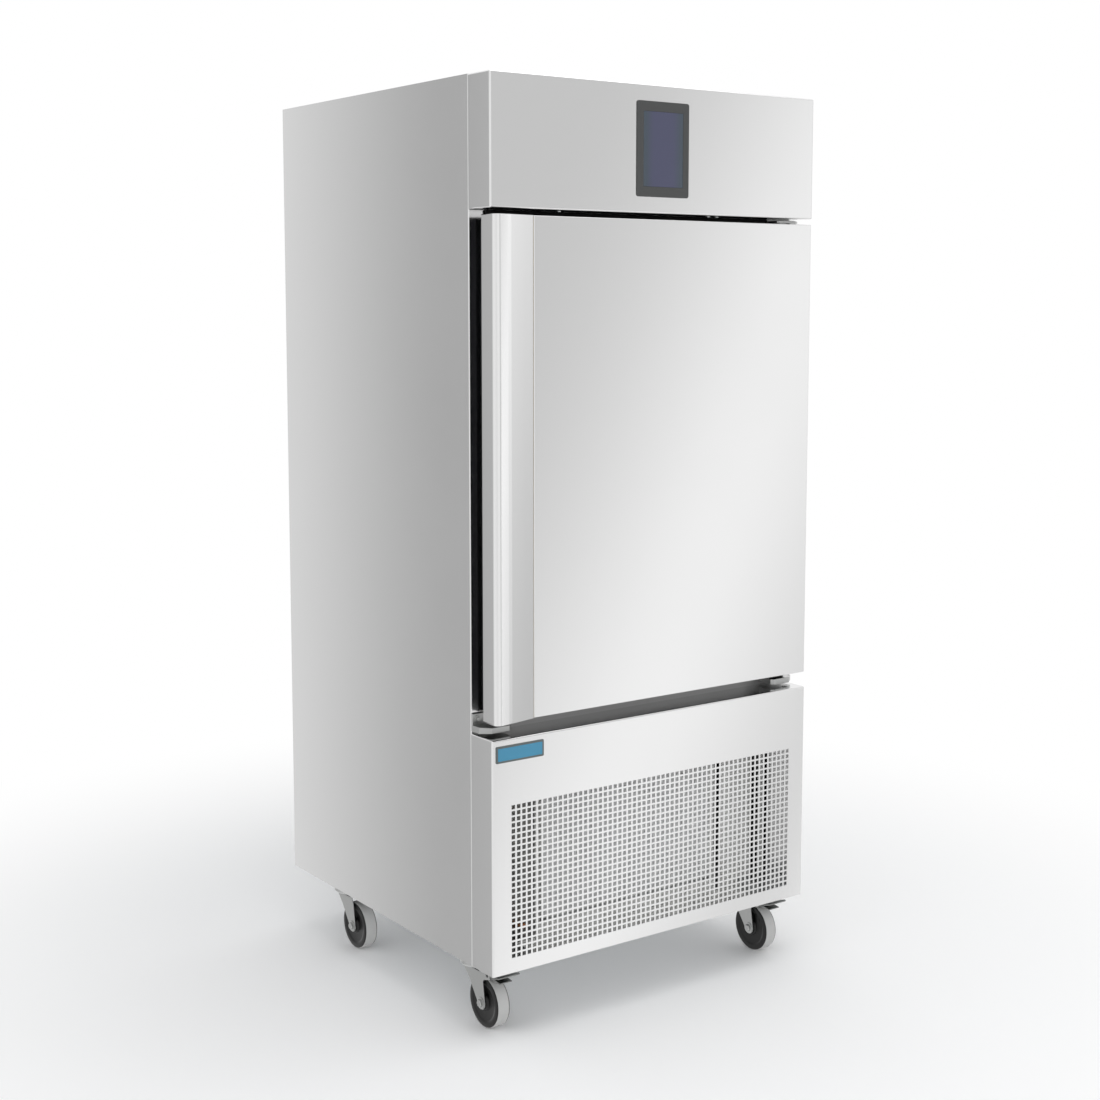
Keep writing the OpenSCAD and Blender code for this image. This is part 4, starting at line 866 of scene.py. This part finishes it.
feet = [block("casing_foot_%d" % side, (side * 222.5 - 10, -284.5, 138), (side * 222.5 + 10, -192.5, 144.5))
        for side in (-1, 1)]
case = join("condenser_casing", case, rim, lip, *feet)
mount(case, "cabinet", white_coat, "condenser_shroud")

# Washable filter of knitted aluminium in a slim frame, clipped in front of the fins over a
# pale sill and tray, and a plain baffle that closes the space on the right with its stay.
filter_mesh, knit, knit_shader = blank("knitted_aluminium_filter")
at = add(knit, "TexCoord")
loops = add(knit, "TexVoronoi", Vector=at.outputs["Object"], Scale=420.0)
wire_tint = blend(knit, loops.outputs["Distance"], linear("f8f8f8"), linear("c4c6c7"))
relief = add(knit, "Bump", {"invert": True}, Strength=0.35, Distance=0.6 * MM,
             Height=loops.outputs["Distance"])
feed(knit_shader, Base_Color=wire_tint, Roughness=0.55, Normal=relief.outputs[0])
pad = soft_block("condenser_filter_mesh", (-213, -298.5, 188), (213, -296, 444), 0.8)
mount(pad, "cabinet", filter_mesh)
edges = []
for x0, x1, z0, z1 in ((-219, -213, 184, 450), (213, 219, 184, 450),
                       (-213, 213, 184, 188), (-213, 213, 444, 450)):
    edges.append(soft_block("filter_edge", (x0, -300, z0), (x1, -295, z1)))
mount(join("condenser_filter_frame", *edges), "cabinet", white_coat)
sill = soft_block("condenser_sill", (-232, -297, 144.5), (232, -294.6, 176), 0.8)
mount(sill, "cabinet", white_coat)
baffle = soft_block("air_baffle", (250, -294, 144), (332, -292.8, 500), 0.4)
stay = soft_block("baffle_stay", (357, -296, 144), (368, -292.8, 500), 0.4)
mount(join("air_baffle_sheet", baffle, stay), "cabinet", white_coat)
tray = block("condensate_tray", (-330, -384, 138.2), (330, -300, 150))
pick(tray, "FACE", lambda x, y, z, f: z > 149.9)
bpy.ops.mesh.inset(thickness=2 * MM)
bpy.ops.mesh.extrude_region_move(TRANSFORM_OT_translate={"value": (0, 0, -9.5 * MM)})
soften(tray)
mount(tray, "cabinet", white_coat)
# Black pad on the inside of the right wall of the machine bay: painted shade for that wall where it shows
# through the grille.
bay_wall_shade_black = plastic("black_painted_bay_shade", "18181a", 0.9, 1.5, 0.3, 0.2)
bay_wall_shade_pad = soft_block("bay_wall_shade_pad_right", (387, -316, 150), (393.7, -60, 560), 1.5)
mount(bay_wall_shade_pad, "cabinet", bay_wall_shade_black)

# ---------------------------------------------------------------- Condenser
# Aluminium fins with a pale protective coat, at 2.6 mm on copper hairpins whose bends stand
# out at both ends.
fin_metal = plastic("coated_aluminium_fins", "eceeee", 0.5, 2.0, 0.01)
copper = stainless("copper_tube", "c98a62", 0.3, (0.5, 0.5, 0.5))


def finned(name, centre, width, depth, height, gap, rows):
    """Thin plates across a serpentine tube. Returns the plates and the tube."""
    x, y, z = centre
    count = int(width / gap)
    sheet = block(name + "_fins", (x - width / 2, y - depth / 2, z - height / 2),
                  (x - width / 2 + 0.5, y + depth / 2, z + height / 2))
    modify(sheet, "ARRAY", count=count, use_relative_offset=False, use_constant_offset=True,
           constant_offset_displace=((width - 0.5) / (count - 1) * MM, 0, 0))
    pitch = height / rows
    reach = width / 2 + 1 + pitch / 2
    points = [(x - width / 2 - 1, y, z - height / 2 + pitch / 2)]
    for row in range(rows):
        level, side = z - height / 2 + pitch * (row + 0.5), 1 if row % 2 == 0 else -1
        if row < rows - 1:
            points += [(x + side * reach, y, level), (x + side * reach, y, level + pitch)]
    points.append((x - width / 2 - 1, y, points[-1][2]))
    return sheet, pipe(name + "_tube", points, 5, pitch / 2 - 0.5, 3)


fins, hairpins = finned("condenser", (0, coil_y, coil_z), 405, 50, 302, 2.6, 8)
mount(fins, "cabinet", fin_metal, "condenser_coil")
mount(hairpins, "cabinet", copper)

# ---------------------------------------------------------------- Fans and motors
# Axial fans of pressed blades riveted to a hub, on sealed motors held by four flat arms.
fan_black = plastic("fan_black", "1f2021", 0.5, 0.8, 0.02)
motor_black = plastic("motor_black_enamel", "262729", 0.4, 0.8, 0.02)


def axial_fan(name, centre, across, blades=5):
    """Fan with twisted, cambered blades that turns about Y, from its hub's front at the centre."""
    x, y, z = centre
    hub = turned(name + "_hub", [(4.05, 0), (30, 0), (34, 1), (36, 4), (36, 26), (33, 26), (33, 6), (4.05, 6),
                                 (4.05, 0)], centre, "Y", 48)
    root, tip = 34.5, across / 2
    chord, camber, spans = 34, 3.2, 8
    curve = [(root, camber * (1 - (2 * k / spans - 1) ** 2), chord * (k / spans - 0.5))
             for k in range(spans + 1)]
    blade = trace(name + "_blade", curve)
    bpy.ops.transform.rotate(value=radians(32), orient_axis="X", center_override=(0, 0, 0))
    steps = 8
    for k in range(steps):
        bpy.ops.mesh.extrude_edges_move(
            TRANSFORM_OT_translate={"value": ((tip - root) / steps * MM, 0, 0)})
        grow = 1.11 if k < 5 else (1.0, 0.96, 0.86)[k - 5]
        bpy.ops.transform.resize(value=(1, grow, grow), center_override=(0, 0, 0))
        bpy.ops.transform.rotate(value=radians(-1.8), orient_axis="X", center_override=(0, 0, 0))
    thicken(blade, 1.6, 0)
    made = [hub]
    for turn in range(blades):
        made.append(twin(blade))
        made[-1].rotation_euler = (0, 2 * pi * turn / blades, 0)
        made[-1].location = Vector((x, y + 13, z)) * MM
        settle(made[-1], "%s_blade_%d" % (name, turn))
    bpy.data.objects.remove(blade)
    return join(name, *made)


def fan_motor(name, centre, ring, arm, reach):
    """Motor with a domed back on four arms; its front face is at the centre and it reaches +Y."""
    can = [(0, -26), (4, -26), (4, 0), (36, 0), (39, 1), (40, 4), (40, 12), (38.6, 13.5), (38.6, 30),
           (40, 31.5), (40, 44), (38, 48), (34, 50), (0, 50)]
    made = [turned(name + "_can", can, centre, "Y", 48)]
    for turn in (45, 135, 225, 315):
        strip = block("%s_arm_%d" % (name, turn), (38, arm, -8), (ring + 4, arm + 4, 8))
        foot = turned("%s_post_%d" % (name, turn), [(0, -reach), (4, -reach), (4, arm + 5), (0, arm + 5)],
                      (ring, 0, 0), "Y", 16)
        spoke = join("%s_spoke_%d" % (name, turn), strip, foot)
        spoke.rotation_euler = (0, radians(turn), 0)
        spoke.location = Vector(centre) * MM
        made.append(settle(spoke, spoke.name))
    return join(name, *made)


mount(axial_fan("condenser_fan_piece", (0, -222.5, coil_z), 250), "condenser_fan", fan_black, "condenser_fan")
drive = fan_motor("condenser_fan_motor", (0, -190.5, coil_z), 144, 12, 8)
mount(drive, "cabinet", motor_black, "condenser_motor")

# ---------------------------------------------------------------- Compressor and receiver
# Black enamelled hermetic compressor, its two drawn halves welded round the waist, on rubber
# feet; beside it the receiver with its outlet valve.
shell_black = plastic("compressor_black_enamel", "141517", 0.28, 1.2, 0.01)


def round_part(radius, height, bend, start, stop, step):
    """Part of a circle in a profile, from start to stop degrees; 0 degrees is level and outward."""
    turns = [radians(a) for a in range(start, stop + 1, step)]
    return [(radius + bend * cos(turn), height + bend * sin(turn)) for turn in turns]


shell = [(0, 14), (74, 14)] + round_part(74, 40, 26, -75, 0, 15)
shell += [(100, 146), (102, 147.5), (104, 148.5), (104, 152), (102, 153.5), (100, 154.5)]
shell += round_part(40, 210, 60, 0, 90, 10) + [(0, 270)]
pot = turned("compressor_shell", shell, (170, 120, 138), "Z", 64)
base = block("compressor_base", (56, 40, 149), (284, 200, 153))
fold(base, runs_along("Z"), 12, 5)
cover = block("compressor_terminals", (136, -6, 228), (204, 40, 290))
fold(cover, lambda x, y, z, e: e.calc_face_angle() > 1, 5, 4)
rubber = [(0, 138), (13, 138), (13, 141), (10, 143), (10, 146), (13, 148), (13, 150), (0, 150)]
pads = [turned("compressor_pad", rubber, (170 + sx * 100, 120 + sy * 66, 0), "Z", 24)
        for sy in (-1, 1) for sx in (-1, 1)]
mount(join("compressor_body", pot, base, cover, *pads), "cabinet", shell_black, "compressor")
can = [(0, 10), (35, 10)] + round_part(35, 30, 20, -75, 0, 15) + round_part(21, 216, 34, 0, 90, 10)
can += [(10, 250), (10, 266), (7, 270), (0, 270)]
tank = turned("receiver_can", can, (-230, 90, 138), "Z", 48)
stand_plate = soft_block("receiver_foot", (-285, 51.5, 138), (-175, 128.5, 148.5), 3, 3)
mount(join("receiver_body", tank, stand_plate), "cabinet", shell_black, "liquid_receiver")

# ---------------------------------------------------------------- Pipes
# Brazed copper tube: discharge over to the condenser, its outlet to the receiver, the liquid
# line with its filter drier up to the evaporator, and the suction line back in a foam sleeve.
lines = [
    pipe("discharge_line", [(170, 120, 408), (170, 120, 490), (-250.5, 120, 490), (-250.5, -269.5, 490),
                            (-250.5, -269.5, 429.1), (-203.5, -269.5, 429.1)], 6, 24),
    pipe("condensate_line", [(-203.5, -269.5, 164.9), (-250.5, -269.5, 164.9), (-250.5, -52, 164.9),
                             (-230, -10, 164.9), (-230, 35, 164.9)], 6, 18),
    pipe("liquid_line", [(-230, 145, 188), (-230, 230, 188), (-230, 230, 308)], 6, 24),
    pipe("feed_line", [(-230, 230, 418), (-230, 230, 781.1), (-230, 304.5, 781.1),
                       (-216, 304.5, 781.1)], 6, 10),
    pipe("suction_line", [(-216, 304.5, 1384.9), (-230, 304.5, 1384.9), (-230, 230, 1384.9),
                          (-190, 230, 1384.9), (-190, 230, 456), (-190, 120, 456), (150, 120, 456),
                          (150, 120, 408)], 6, 10),
]
mount(join("refrigerant_lines", *lines), "cabinet", copper, "refrigerant_pipes")
spun = [(0, 0), (7, 0), (7.4, 7), (11, 12), (19, 20), (22, 26)]
spun += [(radius, 110 - height) for radius, height in reversed(spun)]
cartridge = turned("drier_cartridge", spun, (-230, 230, 308), "Z", 40)
mount(cartridge, "cabinet", copper, "filter_drier")
foam_black = plastic("black_foam_sleeve", "1b1b1c", 0.85, 0.6, 0.1, 0.3)
sleeve = pipe("suction_sleeve", [(-150, 120, 456), (110, 120, 456)], 12, 0)
mount(sleeve, "cabinet", foam_black)

# ---------------------------------------------------------------- Chamber
# Deep-drawn stainless liner with coved corners, a black plastic breaker round its mouth.
room_z0, room_z1 = 655, 1511
liner = block("chamber_shell", (-335, -318.5, room_z0), (335, 347.5, room_z1))
remove(liner, lambda x, y, z, f: y < -318)
fold(liner, sharp(), 14, 6)
thicken(liner, 0.8, 1)
mount(liner, "cabinet", inner_steel, "chamber_liner")
breaker_black = plastic("breaker_black_plastic", "26272a", 0.42, 0.9, 0.02)
dress(breaker_black, "breaker_frame")

# ---------------------------------------------------------------- Evaporator
# Finned block across the chamber's back, with two fans that blow through a sheet cover.
fins, hairpins = finned("evaporator", (0, 304.5, 1083), 430, 62, 690, 4.3, 8)
ribs = [block("evaporator_rib_%d" % side, (side * 209 - 6, 335.4, 738), (side * 209 + 6, 347.5, 1428))
        for side in (-1, 1)]
mount(join("evaporator_fin_block", fins, *ribs), "cabinet", fin_metal, "evaporator_coil")
mount(hairpins, "cabinet", copper)
fan_levels = {"lower": 880, "upper": 1280}
hood_y = 171.5
hood = block("fan_hood", (-250, hood_y, room_z0), (250, hood_y + 25, room_z1))
remove(hood, lambda x, y, z, f: y > hood_y + 24)
fold(hood, sharp(), 2, 3)
thicken(hood, 1.2)
for height in fan_levels.values():
    bore(hood, (0, 172, height), 145, "Y", 20)
mount(hood, "cabinet", inner_steel, "fan_cover")
button_head = [(0, -2.4), (2.4, -2.2), (4.4, -1.3), (5, 0), (5, 0.4), (0, 0.4)]
stud = turned("hood_screw", button_head, (0, hood_y, 0), "Y", 20)
stud_places = [(x, 0, z) for x in (-236, 236) for z in (675, 1083, 1491)]
mount(copies(stud, "hood_screws", stud_places), "cabinet", screw_zinc)

# Finger guards of chromed wire, concentric rings on four stays.
chrome_wire = stainless("chromed_wire", "dcdcde", 0.16, (0.5, 0.5, 0.5))
wires = []
for height in fan_levels.values():
    for ring in range(15):
        clear()
        bpy.ops.mesh.primitive_torus_add(
            major_radius=(10 + 9.9 * ring) * MM, minor_radius=1.2 * MM, major_segments=72, minor_segments=8,
            rotation=(pi / 2, 0, 0), location=(0, 168.8 * MM, height * MM))
        wires.append(settle(bpy.context.object, "guard_ring"))
    for turn in (45, 135, 225, 315):
        c, s = cos(radians(turn)), sin(radians(turn))
        wires.append(pipe("guard_stay", [(10 * c, 170.2, height + 10 * s), (152 * c, 170.2, height + 152 * s),
                                         (152 * c, 171.6, height + 152 * s)], 1.4, 0.6, 2))
mount(join("wire_guards", *wires), "cabinet", chrome_wire, "fan_guards")
for place, height in fan_levels.items():
    body = "evaporator_fan_" + place
    mount(axial_fan("evaporator_fan_piece_" + place, (0, 176.7, height), 274), body, fan_black, body)
drives = [fan_motor("evaporator_motor", (0, 208.7, height), 157, 8, 36) for height in fan_levels.values()]
mount(join("evaporator_fan_motors", *drives), "cabinet", motor_black, "evaporator_motors")

# ---------------------------------------------------------------- Tray racks
# Ten pairs of stainless angle runners spot-welded to square tubes that hook on wall studs.
runner = bent_sheet("runner", [(308, 14), (308, 0), (284, 0)], -255, 145, "Y")
fold(runner, sharp(), 2, 3)
pick(runner, "VERT", lambda x, y, z, v: x < 284.1)
bpy.ops.mesh.bevel(offset=9 * MM, segments=5, affect="VERTICES")
thicken(runner, 1.5)
rails = copies(runner, "right_runners", [(0, 0, 715 + 72 * level) for level in range(10)])
tubes = []
for near in (-185, 60):
    tubes.append(soft_block("rack_post", (308, near, 661), (323, near + 15, 1423), 1.8, 3))
    for height in (735, 1343):
        tubes.append(turned("rack_stud", [(0, 0), (5, 0), (5, 9), (8, 9), (8, 12.3), (0, 12.3)],
                            (322.8, near + 7.5, height), "X", 20))
right_rack = join("right_rack", rails, *tubes)
left_rack = flip(right_rack, "left_rack")
mount(join("tray_rack_pair", right_rack, left_rack), "cabinet", inner_steel, "tray_racks")

# ---------------------------------------------------------------- Back of the door
# Pressed stainless inner sheet, black edge frame and a grey magnetic bellows gasket.
gasket_grey = plastic("gasket_grey_pvc", "3a3b3d", 0.5, 0.8, 0.02)
nylon_white = plastic("nylon_white", "d8d8d4", 0.45, 0.8, 0.01)
inner = block("door_inner_sheet", (-353, -341.5, 636), (375, -340.5, 1530))
pick(inner, "FACE", lambda x, y, z, f: f.normal.y > 0.9)
for wide, rise in ((25, 0), (4, 6), (1.5, 2)):
    bpy.ops.mesh.inset(thickness=wide * MM, depth=rise * MM)
soften(inner, 1.2, 3, 8)
mount(inner, "door", inner_steel, "door_liner")
seal = []
for name, near, far, edge, bend in (("foot", -340.5, -336.5, 0, 0.8), ("bellows", -336.9, -326.3, 4, 3),
                                    ("lip", -326.8, -321.8, 1, 1.8)):
    ring = block("gasket_" + name, (-358 + edge, near, 632 + edge), (371 - edge, far, 1534 - edge))
    open_frame(ring, 22 - 2 * edge)
    soften(ring, bend, 4)
    seal.append(ring)
seal = join("gasket_profile", *seal)
mount(seal, "door", gasket_grey, "door_gasket")
dress(breaker_black, "door_frame")
dress(nylon_white, "door_bushes")

# ---------------------------------------------------------------- Rear and hidden parts
# Galvanised rear sheets held by dome screws; foam and boxes that only show when taken apart.
foam_cream = plastic("polyurethane_foam", "d9c9a0", 0.9, 0.4, 0.3)
box_grey = plastic("control_box_grey", "8c8f91", 0.5, 0.8, 0.02)
dress(foam_cream, "insulation", "door_core")
dress(box_grey, "control_box")
dress(breaker_black, "cable_gland")
low_dome = [(0, 1.9), (1.8, 1.7), (3.6, 1.0), (4.2, 0), (4.2, -0.5), (0, -0.5)]
back_screw = turned("rear_screw", low_dome, (0, back, 0), "Y", 16)
spots = [(x, 0, z) for x in (-380, 0, 380) for z in (160, 560, 600, 1190, 1780)]
mount(copies(back_screw, "rear_screws", spots), "cabinet", screw_zinc)
